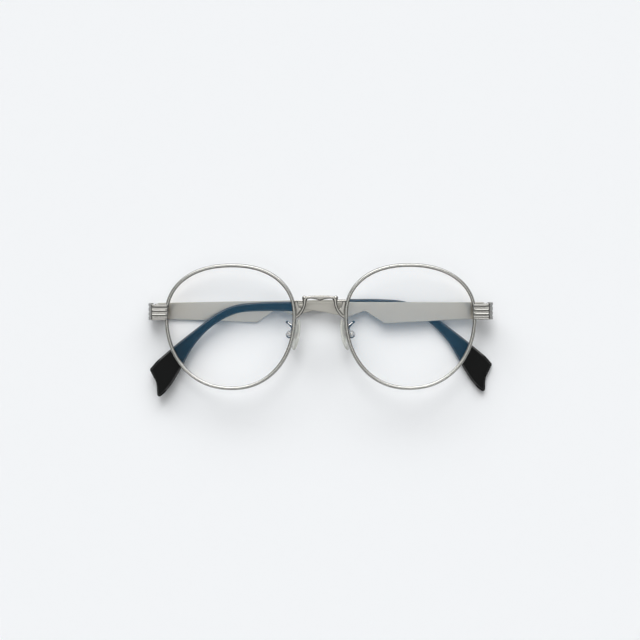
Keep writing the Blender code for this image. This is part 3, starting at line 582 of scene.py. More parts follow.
# %% [markdown]
# ## Lens
#
# Each lens is clear, with a coating that reflects a little blue: over white paper that can't be
# seen, and over the black tips it turns them navy. A Principled shader does both. Its reflection
# is tinted, so red and green pass through. For shadow rays and rays that gather soft light, the
# lens is nearly transparent, because real coated lenses hardly shade the table.


# %% Lens finish
def lens_finish():
    """Glass with a tinted reflection and almost no shadow."""
    material, tree, shader = new_material("coated_lens")
    path = add_node(tree, "ShaderNodeLightPath").outputs
    either = add_math(tree, "MAXIMUM", path["Is Shadow Ray"], path["Is Diffuse Ray"])
    glass = {"Base_Color": (1.0, 1.0, 1.0, 1.0), "Roughness": 0.0, "Transmission_Weight": 1.0}
    set_inputs(tree, shader, **glass, IOR=1.52, Specular_Tint=(0.13, 0.55, 1.0, 1.0))
    set_inputs(tree, shader, Alpha=ranged(tree, either, 1.0, 0.008))
    return material


LENS = lens_finish()

# %% [markdown]
# ## Acetate and silicone
#
# The tips are polished black acetate, dark all the way through, with a painted highlight that
# makes the edge of the bevel a little greyer. The pads are clear silicone, cloudy and slightly
# green, with painted shade where one looks along their surface.


# %% Acetate and silicone finishes
def acetate_finish():
    """Black, a grey painted highlight on ridges, and a gloss that moves a little with the grain."""
    material, tree, shader = new_material("black_acetate")
    painted_light = add_group(tree, PAINTED_LIGHT)
    grain = add_group(tree, GRAIN, Size=900.0, Bump=0.02)
    # The grey on the ridges is a painted highlight.
    colour = mixed(tree, painted_light["Ridge"], (0.0025, 0.003, 0.003, 1), (0.12, 0.12, 0.12, 1))
    gloss = ranged(tree, grain["Mask"], 0.09, 0.16)
    set_inputs(tree, shader, Specular_IOR_Level=0.11, Base_Color=colour, Roughness=gloss)
    set_inputs(tree, shader, Normal=grain["Slope"])
    return material


def silicone_finish():
    """Two pale tints mixed by the grain, and a dark painted shade where the surface is seen at a
    slant.
    """
    material, tree, shader = new_material("clear_silicone")
    grain = add_group(tree, GRAIN, Size=900.0, Bump=0.0)
    slant = add_node(tree, "ShaderNodeLayerWeight", Blend=0.5).outputs["Facing"]
    cloud = mixed(tree, grain["Mask"], (0.95, 0.965, 0.91, 1), (0.985, 0.99, 0.95, 1))
    # Painted shade along the silhouette, where the surface is seen at a slant.
    colour = mixed(tree, ranged(tree, slant, 0.0, 1.0, 0.72, 1.0), cloud, (0.05, 0.056, 0.042, 1))
    gloss = ranged(tree, grain["Mask"], 0.12, 0.2)
    set_inputs(tree, shader, IOR=1.41, Transmission_Weight=0.45, Base_Color=colour, Roughness=gloss)
    return material


ACETATE = acetate_finish()
SILICONE = silicone_finish()
print("finishes:", LENS.name, ACETATE.name, SILICONE.name)

# %% [markdown]
# ## Rims
#
# A rim is a wire drawn with a groove on its inside, bent round the lens and cut at the temple
# side, where a small screw closes it. Its outline isn't quite a circle: each quarter is a
# superellipse with its own half width and half height, so it is wider above the middle and longer
# below. The section is a superellipse too, which gives the bright line along the middle of the
# face and the dark lines at its edges, helped by painted shade on the wire's sides and a painted
# highlight on its edges that stand out.

# %% Rims
RIM_WIDEST = 4.6
RIM_NOSE, RIM_TEMPLE = 25.15, 26.24
RIM_TOP, RIM_BOTTOM = 19.95, 29.12
RIM_ROUND_TOP, RIM_ROUND_BOTTOM = 2.22, 2.16
RIM_FACE, RIM_FACE_TOP = 1.22, 1.46
RIM_DEPTH = 2.4
RIM_SPLIT = 0.36
RIM_FLARE, RIM_INNER, RIM_INNER_TOP = 0.32, 0.64, 0.12
FLARE_FROM, FLARE_OVER = 0.95, 1.05
GROOVE_DEPTH, GROOVE_HALF = 0.5, 0.7
LINE_AT, LINE_HALF, LINE_DEPTH = 0.1, 0.12, 0.13
# Relief at which the rim's painted highlight is brightest
RIM_HIGHLIGHT = 0.024


def rim_outline(angle, offset, side):
    """Points of the rim's outline at the angles, moved out by offset: x = a cos ** (2 / n) and
    y = b sin ** (2 / n), with the half sizes a, b and the power n of each quarter."""
    c, s = np.cos(angle), np.sin(angle)
    upper = s > 0
    half_wide = np.where(c > 0, RIM_TEMPLE, RIM_NOSE) + offset
    half_tall = np.where(upper, RIM_TOP + offset * RIM_FACE_TOP / RIM_FACE, RIM_BOTTOM + offset)
    power = 2 / np.where(upper, RIM_ROUND_TOP, RIM_ROUND_BOTTOM)
    across, up = bent(c, power) * half_wide, bent(s, power) * half_tall
    return np.stack([side * across, RIM_WIDEST + up], axis=-1)


def rim_angle(level):
    """The outline's angle on the temple side at a level over the datum."""
    return math.asin(((level - RIM_WIDEST) / RIM_TOP) ** (RIM_ROUND_TOP / 2))


def rim_section(around=108, squareness=2.5):
    """The wire's section as (share, height), the share running from -1 inside to 1 outside: a
    superellipse, with a V groove for the lens on the inner side, and a fine V engraved along the
    face. A V is its depth times 1 - |distance| / half width, where that is above zero."""
    angle = turns(around)
    share = bent(np.cos(angle), 2 / squareness)
    height = bent(np.sin(angle), 2 / squareness) * RIM_DEPTH / 2
    engraved = LINE_DEPTH * np.clip(1 - np.abs(share - LINE_AT) / LINE_HALF, 0, 1)
    height = height - np.where(height > 0, engraved, 0)
    groove = GROOVE_DEPTH * np.clip(1 - np.abs(height) / GROOVE_HALF, 0, 1)
    return share, height, np.where(share < 0, groove, 0)


def rim_skin(side, stations=420):
    """The section reaches RIM_INNER inwards, and RIM_INNER_TOP more at the top. Outwards it
    reaches half of RIM_FACE, and RIM_FLARE more from the sides down. The flare, from 0 at the top
    to 1 below, is (FLARE_FROM - sin) / FLARE_OVER, kept in 0 to 1."""
    share, height, groove = rim_section()
    start = rim_angle(HINGE_LEVEL + RIM_SPLIT / 2)
    end = rim_angle(HINGE_LEVEL - RIM_SPLIT / 2)
    angle = np.linspace(start, end + 2 * math.pi, stations)[:, None]
    flare = np.clip((FLARE_FROM - np.sin(angle)) / FLARE_OVER, 0, 1)
    outer = RIM_FACE / 2 + RIM_FLARE * flare
    inner = RIM_INNER + RIM_INNER_TOP * (1 - flare)
    offset = (outer - inner) / 2 + (outer + inner) / 2 * share + groove
    flat = rim_outline(angle, offset, side)
    return skin(np.dstack([flat, np.broadcast_to(height, flat.shape[:2])]))


for name, side in SIDES:
    rim = mesh_of("rim", [rim_skin(side)], RIM_FRAME[name])
    node = f"{name}_rim"
    add_piece(f"{name}_rim_wire", rim, SATIN, "front", node, RIM_HIGHLIGHT)

# %% [markdown]
# ## Lenses
#
# A lens is a meniscus: two parts of spheres, a constant thickness apart, cut to the rim's outline
# and given a V edge that sits in the groove. Rings of the outline shrink towards the middle, and
# each point's height comes from the sphere.

# %% Lenses
LENS_RADIUS = 150.0
LENS_THICK = 1.1
LENS_EDGE = -0.28
LENS_POINT = -0.14


def lens_skin(side, rings=26, around=220):
    """Height of a face: sqrt(R ** 2 - r ** 2) less its value at the mean edge, r being the
    distance from the lens's middle, with half the thickness added or taken away."""
    edge = (RIM_NOSE + RIM_TEMPLE) / 2
    centre_x = side * (RIM_TEMPLE - RIM_NOSE) / 2
    centre = np.array([centre_x, RIM_WIDEST + (RIM_TOP - RIM_BOTTOM) / 2])
    outline = rim_outline(turns(around), LENS_EDGE, side)
    point = rim_outline(turns(around), LENS_POINT, side)
    share = np.sin(np.linspace(0, math.pi / 2, rings))[:, None, None]
    face = centre + (outline - centre) * share
    flat = np.concatenate([face, point[None], face[::-1]])
    height = np.sqrt(LENS_RADIUS**2 - np.sum((flat - centre) ** 2, -1))
    height -= math.sqrt(LENS_RADIUS**2 - edge**2)
    half = np.repeat([LENS_THICK / 2, 0, -LENS_THICK / 2], [rings, 1, rings])[:, None]
    return skin(np.dstack([flat, height + half]), "poles")


for name, side in SIDES:
    lens = mesh_of("lens", [lens_skin(side)], RIM_FRAME[name])
    add_piece(f"{name}_clear_lens", lens, LENS, "front", f"{name}_lens")

# %% [markdown]
# ## Bridge
#
# The bridge is one casting between the rims: a crest whose lower edge dips in the middle, a small
# knob at each end of it, two legs that sweep down and out to their feet, a strut from each leg to
# the rim, and between leg and rim a thinner web with an opening at its top. All but the knobs are
# bars between two edge curves, and everything is melted together. The web stands back from the
# legs, as on the real casting. The sides that face the nose get deeper painted shade than the
# rest.

# %% Bridge
BRIDGE_FRONT = 10.247
BRIDGE_DEPTH = 1.7
BRIDGE_BULGE = 0.9
CREST_TOP, CREST_FALL, CREST_HALF = 12.5, 0.5, 6.4
CREST_UNDER = [
    (-6.6, 10.7), (-5.2, 10.85), (-3.85, 11.1), (-1.8, 10.85), (-0.7, 10.45), (0, 10.2),
]
LEG_INNER = [
    (4.2, 11.7), (4.8, 11.05), (5.35, 10.2), (5.6, 8.9), (6.0, 7.4), (6.75, 5.85), (8.1, 4.15),
    (9.8, 3.0),
]
LEG_OUTER = [
    (6.9, 12.0), (7.1, 11.2), (6.95, 10.0), (6.9, 8.9), (7.4, 7.4), (8.3, 5.95), (9.2, 4.85),
    (10.0, 4.2),
]
WEB_INNER = [
    (8.75, 10.3), (8.8, 9.4), (8.5, 8.2), (8.05, 7.35), (7.3, 6.75), (7.5, 6.0), (8.4, 4.9),
    (9.6, 3.7),
]
WEB_LEVELS = [10.4, 9.4, 8.3, 7.4, 6.6, 5.7, 4.7, 3.5]
STRUT_LEVEL, STRUT_THICK, STRUT_INTO_LEG = 10.22, 0.62, 0.4
# Each bar's front, back and squareness
CREST_BAR = 0.0, -BRIDGE_DEPTH, 3.8
LEG_BAR = 0.05, -BRIDGE_DEPTH, 2.6
STRUT_BAR = -0.12, 0.2 - BRIDGE_DEPTH, 3.0
WEB_BAR = -0.45, 0.15 - BRIDGE_DEPTH, 3.2
KNOB, KNOB_PLACE, KNOB_PROUD, KNOB_TURN = 0.86, (6.35, 11.5), 0.2, 1.4
# The point towards which the bridge's sides get deeper painted shade
NOSE_PLACE = (0.0, 4.5, 12.5)
SOLDERED = 0.12
# The melt's voxel and rounds, and the relief of the bridge's painted highlight
MELT_BRIDGE, BRIDGE_HIGHLIGHT = (0.07, 3), 0.014


def rim_nose_edge(level):
    """Distance from the middle to the rim's nose edge at a level over the datum."""
    rise = np.asarray(level, float) - RIM_WIDEST
    high = rise > 0
    up = np.where(high, RIM_TOP + RIM_FACE_TOP / 2, RIM_BOTTOM + RIM_FACE / 2)
    power = np.where(high, RIM_ROUND_TOP, RIM_ROUND_BOTTOM)
    share = (1 - np.abs(rise / up) ** power) ** (1 / power)
    return RIM_CENTRE - (RIM_NOSE + RIM_FACE / 2) * share * math.cos(FACE_WRAP)


def bulged(part, side=1):
    """A bar in the bridge: mirrored to its side and bulged forward by a parabola that ends at
    the rims."""
    points, faces = part
    points = points * (side, 1, 1)
    reach = rim_nose_edge(RIM_WIDEST)
    points[:, 2] += BRIDGE_FRONT + BRIDGE_BULGE * (1 - (points[:, 0] / reach) ** 2)
    return points, faces


def bridge_parts():
    """The crest, and for each side a leg, a strut, a web and a knob."""
    half = smooth(CREST_UNDER)
    under = np.vstack([half, half[-2::-1] * (-1, 1)])
    over = np.c_[under[:, 0], CREST_TOP - CREST_FALL * (under[:, 0] / CREST_HALF) ** 2]
    web_rim = np.c_[rim_nose_edge(WEB_LEVELS) + SOLDERED, WEB_LEVELS]
    strut_end = float(rim_nose_edge(STRUT_LEVEL)) + SOLDERED
    ends = np.linspace(LEG_OUTER[2][0] - STRUT_INTO_LEG, strut_end, 12)
    low, high = STRUT_LEVEL - STRUT_THICK / 2, STRUT_LEVEL + STRUT_THICK / 2
    sides = [
        bar(smooth(LEG_INNER), smooth(LEG_OUTER), *LEG_BAR),
        bar(np.c_[ends, ends * 0 + low], np.c_[ends, ends * 0 + high], *STRUT_BAR),
        bar(smooth(WEB_INNER), smooth(web_rim), *WEB_BAR),
    ]
    rise = np.linspace(-KNOB_TURN, KNOB_TURN, 15)
    ball = [(KNOB * math.cos(a), KNOB * math.sin(a)) for a in rise]
    knob = turned([(0, -KNOB), *ball, (0, KNOB)])
    sides.append(moved(knob, Matrix.Translation((*KNOB_PLACE, KNOB_PROUD - KNOB))))
    crest = bulged(bar(under, over, *CREST_BAR))
    return [crest, *[bulged(part, side) for _, side in SIDES for part in sides]]


bridge = melted(mesh_of("bridge", bridge_parts(), FRONT), *MELT_BRIDGE)
# The bridge's sides that face the nose get deeper painted shade.
nose = np.array(FRONT @ Vector(NOSE_PLACE)) * MM
add_piece("bridge_casting", bridge, CAST, "front", "bridge", BRIDGE_HIGHLIGHT, nose)

# %% [markdown]
# ## Endpieces
#
# At each temple side a strip carries four raised bars round the corner to the hinge. The strip is
# one skin: its path runs along the front, round the corner and out over the hinge, and the outer
# side of its section is lowered in the three grooves. The depth under a bar's top follows from the
# distance to the bar's edge, through a quarter circle, so each bar has a rounded edge all the way
# round. Past the corner the grooves are shallower, and the strip widens upwards. Rows and columns
# are crowded where the edges are.

# %% Endpieces
END_THICK, END_TALL = 1.4, 6.7
END_START, END_CORNER, END_CORNER_RADIUS = 61.2, 67.6, 0.6
END_FRONT = RIM_FORWARD - RIM_TEMPLE * math.sin(FACE_WRAP) + RIM_DEPTH / 2 + 0.4 + END_THICK / 2
END_OUT, END_FLARE_FROM, END_BACK = 68.58, 3.6, 0.3
END_BARS, END_GROOVE, END_GROOVE_DEPTH = 4, 0.42, 0.6
END_TOP_CUT, END_SHALLOWER = 0.5, 0.5
# Rounding, dish, and the relief of the bars' painted highlight
END_ROUND, END_DISH, END_HIGHLIGHT = 0.3, 0.12, 0.05
END_LIFT, END_LIFT_FROM, END_LIFT_OVER = 0.9, 0.34, 2.0
CROWDED = np.array([0, 0.01, 0.02, 0.035, 0.055, 0.08, 0.12, *np.linspace(0.2, 0.9, 8)])
FINE_EDGE = np.array([0, 0.02, 0.05, 0.1, 0.16, 0.23, END_ROUND])
INNER_CORNER = np.array([0, 0.03, 0.12])


def end_path():
    """The strip's middle line in plan, as (x, z): straight, a quarter circle, then an S that
    carries it outwards, x growing with 3 t ** 2 - 2 t ** 3."""
    centre_x, centre_z = END_CORNER - END_CORNER_RADIUS, END_FRONT - END_CORNER_RADIUS
    crowd = END_START + (centre_x - END_START) * CROWDED
    straight = np.c_[crowd, np.full(len(crowd), END_FRONT)]
    angle = np.linspace(math.pi / 2, 0, 24)
    arc = END_CORNER_RADIUS * np.c_[np.cos(angle), np.sin(angle)] + (centre_x, centre_z)
    t = np.linspace(0, 1, 28)[1:]
    outwards = END_CORNER + (END_OUT - END_CORNER) * (3 * t**2 - 2 * t**3)
    flare = np.c_[outwards, centre_z + (END_FLARE_FROM - centre_z) * t]
    share = np.r_[0.2:0.8:4j, 0.9, 0.95, 0.975, 1]
    back = END_FLARE_FROM + (END_BACK - END_FLARE_FROM) * share
    tail = np.c_[np.full(len(back), END_OUT), back]
    return np.vstack([straight, arc, flare, tail])


def end_levels():
    """Heights across the strip, close together at each bar's edges, and how far each lies inside
    its bar, less than nothing in a groove."""
    pitch = END_TALL / END_BARS
    levels, inside = [], []
    for index in range(END_BARS):
        low = index * pitch + (END_GROOVE / 2 if index else 0)
        high = (index + 1) * pitch - (END_GROOVE / 2 if index < END_BARS - 1 else END_TOP_CUT)
        middle = np.linspace(low + END_ROUND, high - END_ROUND, 7)[1:-1]
        bar_levels = np.r_[low + FINE_EDGE, middle, (high - FINE_EDGE)[::-1]]
        levels.append(bar_levels)
        inside.append(np.minimum(bar_levels - low, high - bar_levels))
        if index < END_BARS - 1:
            levels.append(high + np.array([0.04, END_GROOVE / 2, END_GROOVE - 0.04]))
            inside.append(np.full(3, -1.0))
    return np.concatenate(levels) - END_TALL / 2 + HINGE_LEVEL, np.concatenate(inside)


def end_skin(side):
    """The strip's rows. Past END_LIFT_FROM of its length a lift grows from 0 to 1 over
    END_LIFT_OVER. It takes END_SHALLOWER off the grooves' depth, and its square times END_LIFT
    times the cube of a level's share of the strip raises that level."""
    path = end_path()
    run = run_along(path)
    levels, inside = end_levels()
    depth = np.minimum(inside[None, :], np.minimum(run, run[-1] - run)[:, None])
    away = 1 - np.clip(depth / END_ROUND, 0, 1)
    round_off = 1 - np.sqrt(1 - away**2)
    lift = np.clip((run - run[-1] * END_LIFT_FROM) / END_LIFT_OVER, 0, 1)[:, None]
    groove = END_GROOVE_DEPTH * (1 - END_SHALLOWER * lift)
    fall = np.where(inside[None, :] < 0, groove, END_ROUND * round_off)
    dish = END_DISH * np.clip((depth - END_ROUND) / END_ROUND, 0, 1) ** 2
    outer = END_THICK / 2 - fall - dish
    inner = np.r_[INNER_CORNER, INNER_CORNER[::-1]] - END_THICK / 2
    inner_levels = np.r_[levels[-1] - INNER_CORNER, levels[0] + INNER_CORNER[::-1]]
    half = np.concatenate([outer, np.broadcast_to(inner, (len(path), len(inner)))], axis=1)
    plan = path[:, None] + aside(path)[:, None] * half[:, :, None]
    height = np.broadcast_to(np.r_[levels, inner_levels], half.shape)
    height = height + END_LIFT * lift**2 * ((height - HINGE_LEVEL) / END_TALL + 0.5) ** 3
    return skin(np.dstack([side * plan[:, :, 0], height, plan[:, :, 1]]))


for name, side in SIDES:
    strip = mesh_of("strip", [end_skin(side)], FRONT)
    node = f"{name}_endpiece"
    add_piece(f"{name}_ribbed_strip", strip, RIBBED, "front", node, END_HIGHLIGHT)

# %% [markdown]
# ## Temples
#
# A temple is stamped from flat sheet: its outline has a deep belly near the hinge and a waist
# before the tip, and its edges are broken by a small radius. A flat core runs on from it into the
# tip. Outlines are given as (along, level, radius), along from the hinge and level up from it.

# %% Temples
PLATE_INNER, PLATE_OUTER = 1.65, 2.65
PLATE_EDGE = 0.16
PLATE_CORNERS = [
    (0.3, 3.65, 0.3),
    (0.3, -2.8, 0.3),
    (40.3, -5.0, 0.9),
    (48.3, 0.1, 1.3),
    (55.4, -2.5, 1.8),
    (64.0, -0.5, 6.0),
    (73.5, 0.8, 3.0),
    (76.35, 0.8, 0.0),
    (76.35, 3.65, 0.0),
]
CORE_LINE = [(73.2, 1.8), (76.6, 1.8), (90, 1.7), (100.4, 0.6), (109, -4.0), (118, -11.9)]
CORE_HALF_WIDE = 0.85
# The front, back and squareness of the core, and its points around
CORE_BAR = -1.3, -2.2, 6.0, 16
FLIP = {side: Matrix.Diagonal((side, 1, 1, 1)) for _, side in SIDES}


def core_skin():
    """A flat bar of even width along the core's line."""
    line = smooth(CORE_LINE)
    out = aside(line) * CORE_HALF_WIDE
    return bar(line - out, line + out, *CORE_BAR)


for name, side in SIDES:
    plate = slab(filleted(PLATE_CORNERS, 12), -PLATE_OUTER, -PLATE_INNER, PLATE_EDGE)
    temple = mesh_of("temple", [plate, core_skin()], TEMPLE_FRAME[name] @ FLIP[-side])
    body = f"{name}_temple"
    add_piece(f"{name}_temple_plate", temple, BRUSHED, body, body)

# %% [markdown]
# ## Temple tips
#
# The tips are cut from acetate sheet, bent down behind the ear and polished. Their outline swells
# towards the end, which is cut off in a hollow curve between two rounded corners. The edges are
# bevelled and the faces slightly crowned. The skin is made of rings: the first follow the bevel,
# and the others shrink from the outline to the line midway between its upper and lower edge.

# %% Temple tips
TIP_FRONT, TIP_BACK = 0.25, -2.95
TIP_UPPER = [
    (76.6, 3.75), (90, 3.45), (100.5, 2.3), (108, -1.1), (117.2, -7.9), (125.6, -14.6),
    (132.4, -20.4),
]
TIP_LOWER = [
    (76.6, -0.1), (90.5, -0.1), (100.3, -1.1), (109.6, -6), (117, -13.7), (121.9, -22.2),
    (125.8, -28.9), (129, -33),
]
TIP_END = [(135.1, -23.6, 0.9), (132.3, -29.0, 5.0), (131.9, -35.4, 0.9)]
# Distances in from the outline, and down from the face
TIP_BEVEL = [(0, 0.5), (0.015, 0.42), (0.07, 0.33), (0.42, 0.09), (0.52, 0.03), (0.64, 0)]
# The crown, and the relief of the bevel's painted highlight
TIP_CROWN, TIP_HIGHLIGHT = 0.12, 0.047


def resampled(line, count):
    """The line's points at equal steps of its length."""
    run = run_along(line)
    at = np.linspace(0, run[-1], count)
    return np.stack([np.interp(at, run, line[:, k]) for k in (0, 1)], axis=1)


def tip_skin(count=110):
    """Rings from the middle line of the front face, out over the bevel, round to the back."""
    upper = resampled(smooth(TIP_UPPER), count)
    lower = resampled(smooth(TIP_LOWER), count)
    end = filleted([(*TIP_UPPER[-1], 0), *TIP_END, (*TIP_LOWER[-1], 0)])[1:-1]
    outline = np.vstack([upper, end, lower[::-1]])
    spine = (upper + lower) / 2
    spine = np.vstack([spine, np.repeat(spine[-1:], len(end), axis=0), spine[::-1]])
    rings = []
    for share in np.sin(np.linspace(0, math.pi / 2, 9))[:-1]:
        flat = spine + (inset(outline, TIP_BEVEL[-1][0]) - spine) * share
        rings.append((flat, TIP_CROWN * share**2))
    rings += [(inset(outline, into), TIP_CROWN + down) for into, down in TIP_BEVEL[::-1]]
    front = [np.c_[flat, np.full(len(flat), TIP_FRONT - down)] for flat, down in rings]
    back = [np.c_[flat, np.full(len(flat), TIP_BACK + down)] for flat, down in rings]
    return skin(np.array(front + back[::-1]), "poles")


for name, side in SIDES:
    tip = mesh_of("tip", [tip_skin()], TEMPLE_FRAME[name] @ FLIP[-side])
    body = f"{name}_temple"
    node = f"{name}_temple_tip"
    add_piece(f"{name}_acetate_tip", tip, ACETATE, body, node, TIP_HIGHLIGHT)

# %% [markdown]
# ## Hinges and screws
#
# The hinge has three knuckles on a screw: two on a leaf inside the endpiece, and the middle one on
# a leaf inside the temple. A leaf is a slab with a notch that clears the other half's knuckle, and
# a knuckle is a turned collar. Leaf and knuckle are melted together. The screws are turned, and
# each has a slot cut across its head.

# %% Hinges and screws
HINGE_APART = 66.2
KNUCKLE_RADIUS, KNUCKLE_MIDDLE, HINGE_TALL = 1.25, 1.9, 5.4
KNUCKLE_EDGE, BORE_EDGE = 0.12, 0.05
LEAF_FACE, LEAF_THICK, LEAF_START, LEAF_LONG, LEAF_SHORT = 1.4, 0.85, 0.05, 3.5, 0.1
LEAF_ROUND, LEAF_CORNER, LEAF_NOTCH, LEAF_EDGE = 0.35, 0.2, 0.15, 0.1
HINGE_SHANK, HINGE_HEAD, HEAD_TALL = 0.5, 0.95, 0.55
# The head's profile, as shares of its radius and distances down from its top
HEAD_PROFILE = [(0, 0), (0.5, 0.01), (0.8, 0.06), (0.95, 0.16), (1, 0.3)]
HEAD_EDGE, SHANK_EDGE, SLOT_HALF, SLOT_FLOOR, SLOT_EDGE = 0.06, 0.1, 0.13, 0.55, 0.01
RUN_GAP = 0.1
CLEAR = LEAF_FACE + RUN_GAP
MELT_HINGE = 0.055, 2
UP_TO_Y = Matrix.Rotation(-math.pi / 2, 4, "X")


def knuckle(low, high, place=(0, 0, 0)):
    """A collar on the hinge's axis, which runs along Y."""
    bore, radius = HINGE_SHANK + RUN_GAP, KNUCKLE_RADIUS
    loop = [(bore, low, BORE_EDGE), (radius, low, KNUCKLE_EDGE)]
    loop += [(radius, high, KNUCKLE_EDGE), (bore, high, BORE_EDGE)]
    return moved(collar(filleted(loop, 4)), Matrix.Translation(place) @ UP_TO_Y)


def screw_parts(shank, head, length):
    """A slotted screw along Z, the seat of its head at zero: what is turned, and its slot."""
    loop = [(head * share, HEAD_TALL - down) for share, down in HEAD_PROFILE]
    loop += [(head, HEAD_EDGE), (head - HEAD_EDGE, 0), (shank, 0), (shank, SHANK_EDGE - length)]
    loop += [(shank - SHANK_EDGE, -length), (0, -length)]
    slot = np.array([(-2, -SLOT_HALF), (2, -SLOT_HALF), (2, SLOT_HALF), (-2, SLOT_HALF)]) * head
    return turned(loop), slab(slot, HEAD_TALL * SLOT_FLOOR, HEAD_TALL * 2, SLOT_EDGE)


def add_screw(name, node, shank, head, length, place):
    """A finished screw, which rides on the front."""
    made, slot = screw_parts(shank, head, length)
    mesh = without(mesh_of("screw", [made], place), [slot], place)
    add_piece(name, mesh, BRIGHT, "front", node)


def front_hinge(side):
    """Two knuckles and the leaf, whose outline is given as (forward, level, radius)."""
    half, gap = HINGE_TALL / 2, KNUCKLE_MIDDLE / 2 + RUN_GAP
    end, notch = half - LEAF_SHORT, gap + LEAF_SHORT
    corners = [
        (LEAF_START, -end, LEAF_CORNER), (LEAF_LONG, -end, LEAF_ROUND),
        (LEAF_LONG, end, LEAF_ROUND), (LEAF_START, end, LEAF_CORNER),
        (LEAF_START, notch, 0), (CLEAR, notch, LEAF_NOTCH),
        (CLEAR, -notch, LEAF_NOTCH), (LEAF_START, -notch, 0),
    ]
    leaf = slab(filleted(corners), LEAF_FACE - LEAF_THICK, LEAF_FACE, LEAF_EDGE)
    axis = (side * HINGE_APART, HINGE_LEVEL, 0)
    turn = Matrix(((0, 0, side, axis[0]), (0, 1, 0, axis[1]), (1, 0, 0, 0), (0, 0, 0, 1)))
    return [moved(leaf, turn), knuckle(gap, half, axis), knuckle(-half, -gap, axis)]


def temple_hinge(side):
    """The middle knuckle and its leaf, whose outline is given as (along, level, radius)."""
    half, gap = HINGE_TALL / 2, KNUCKLE_MIDDLE / 2
    neck = gap - LEAF_SHORT
    corners = [
        (LEAF_START, -neck, 0), (CLEAR, -neck, LEAF_NOTCH),
        (CLEAR, -half, LEAF_CORNER), (LEAF_LONG, -half, LEAF_ROUND),
        (LEAF_LONG, half, LEAF_ROUND), (CLEAR, half, LEAF_CORNER),
        (CLEAR, neck, LEAF_NOTCH), (LEAF_START, neck, 0),
    ]
    leaf = slab(filleted(corners), -LEAF_FACE, LEAF_THICK - LEAF_FACE, LEAF_EDGE)
    return [moved(leaf, FLIP[-side]), knuckle(-gap, gap)]


for name, side in SIDES:
    halves = (
        ("front", "front_leaf", "front_hinge", front_hinge(side), FRONT),
        (f"{name}_temple", "temple_leaf", "temple_hinge", temple_hinge(side), HINGE_FRAME[name]),
    )
    for body, leaf, node, parts, place in halves:
        mesh = melted(mesh_of("hinge", parts, place), *MELT_HINGE)
        add_piece(f"{name}_{leaf}", mesh, SATIN, body, f"{name}_{node}")
    seat = (side * HINGE_APART, HINGE_LEVEL + HINGE_TALL / 2 + RUN_GAP, 0)
    place = FRONT @ Matrix.Translation(seat) @ UP_TO_Y
    size = HINGE_SHANK, HINGE_HEAD, HINGE_TALL + RUN_GAP
    add_screw(f"{name}_slotted_hinge_screw", f"{name}_hinge_screw", *size, place)

# %% [markdown]
# ## Rim locks
#
# Behind each endpiece two small blocks are soldered to the rim's ends, and a screw from below
# draws them together on the lens. A block is a slab with a hole bored through it.

# %% Rim locks
LOCK_WIDE, LOCK_TALL, LOCK_DEEP = 2.7, 2.2, 2.3
LOCK_ROUND, LOCK_EDGE, LOCK_INTO, LOCK_OUT = 0.35, 0.18, 0.1, 0.25
LOCK_SHANK, LOCK_HEAD = 0.45, 0.85
LOCK_INNER = RIM_TEMPLE + RIM_FACE / 2
LAID_OVER = Matrix(((1, 0, 0, 0), (0, 0, 1, 0), (0, 1, 0, 0), (0, 0, 0, 1)))


def lock_block(side, up):
    """A block's outline lies in x and z, and its thickness runs along y from the rim's split."""
    near, far = LOCK_INNER - LOCK_INTO, LOCK_INNER + LOCK_OUT + LOCK_WIDE
    deep = LOCK_DEEP / 2
    corners = ((near, -deep), (far, -deep), (far, deep), (near, deep))
    loop = filleted([(side * x, z, LOCK_ROUND) for x, z in corners], 6)
    start = HINGE_LEVEL + up * RIM_SPLIT / 2
    low, high = sorted((start, start + up * LOCK_TALL))
    return moved(slab(loop, low, high, LOCK_EDGE), LAID_OVER)


def drill(radius, reach):
    """A cutter for a hole along Z."""
    return turned([(0, reach), (radius, reach), (radius, -reach), (0, -reach)])


for name, side in SIDES:
    middle_x = side * (LOCK_INNER + LOCK_OUT + LOCK_WIDE / 2)
    tall = LOCK_TALL + RIM_SPLIT / 2
    bore_place = Matrix.Translation((middle_x, HINGE_LEVEL, 0)) @ UP_TO_Y
    bore = moved(drill(LOCK_SHANK + RUN_GAP, 2 * LOCK_TALL), bore_place)
    for part, up in (("upper", 1), ("lower", -1)):
        block = mesh_of("block", [lock_block(side, up)], RIM_FRAME[name])
        block = without(block, [bore], RIM_FRAME[name])
        label = f"{name}_rim_lock_{part}"
        add_piece(f"{label}_block", block, SATIN, "front", label)
    seat = Matrix.Translation((middle_x, HINGE_LEVEL - tall - RUN_GAP, 0)) @ UP_TO_Y.inverted()
    size = LOCK_SHANK, LOCK_HEAD, 2 * tall
    node = f"{name}_rim_lock_screw"
    add_screw(f"{name}_slotted_lock_screw", node, *size, RIM_FRAME[name] @ seat)

# %% [markdown]
# ## Pad arms
#
# A thin wire leaves the back of each rim, loops out over the lens and back under itself, and ends
# in a round box that takes the pad's stem. The box is two cheeks and a wall between them, so that
# the stem can slide in. Each cheek has a groove round its boss, and painted shade on every face
# not turned to the front shows it as a dark ring. Wire and box are brazed together, which melting
# imitates.

# %% Pad arms
PAD_PIVOT = (12.4, -3.2, 3.3)
ARM_RADIUS = 0.5
ARM_LEVEL, ARM_OUT, ARM_UP, ARM_FALL, ARM_TURN = -0.2, 2.3, 1.7, 0.8, 2.0
ARM_ELBOW, ARM_ENTRY = (1.1, 2.6, 0.35), (0.6, 1.2)
BOX_RADIUS, BOX_CHEEK, BOX_WALL, BOX_SLOT = 1.6, 0.45, 0.45, 0.5
BOX_BORE, BOX_GROOVE, BOX_LIP, BOX_BOSS = 0.5, 0.4, 0.14, 0.6
WALL_FROM, WALL_TO, WALL_INTO, WALL_SQUARE = -20, 125, 0.2, 6.0
PAD_SHANK, PAD_HEAD = 0.38, 0.75
MELT_ARM = 0.045, 3


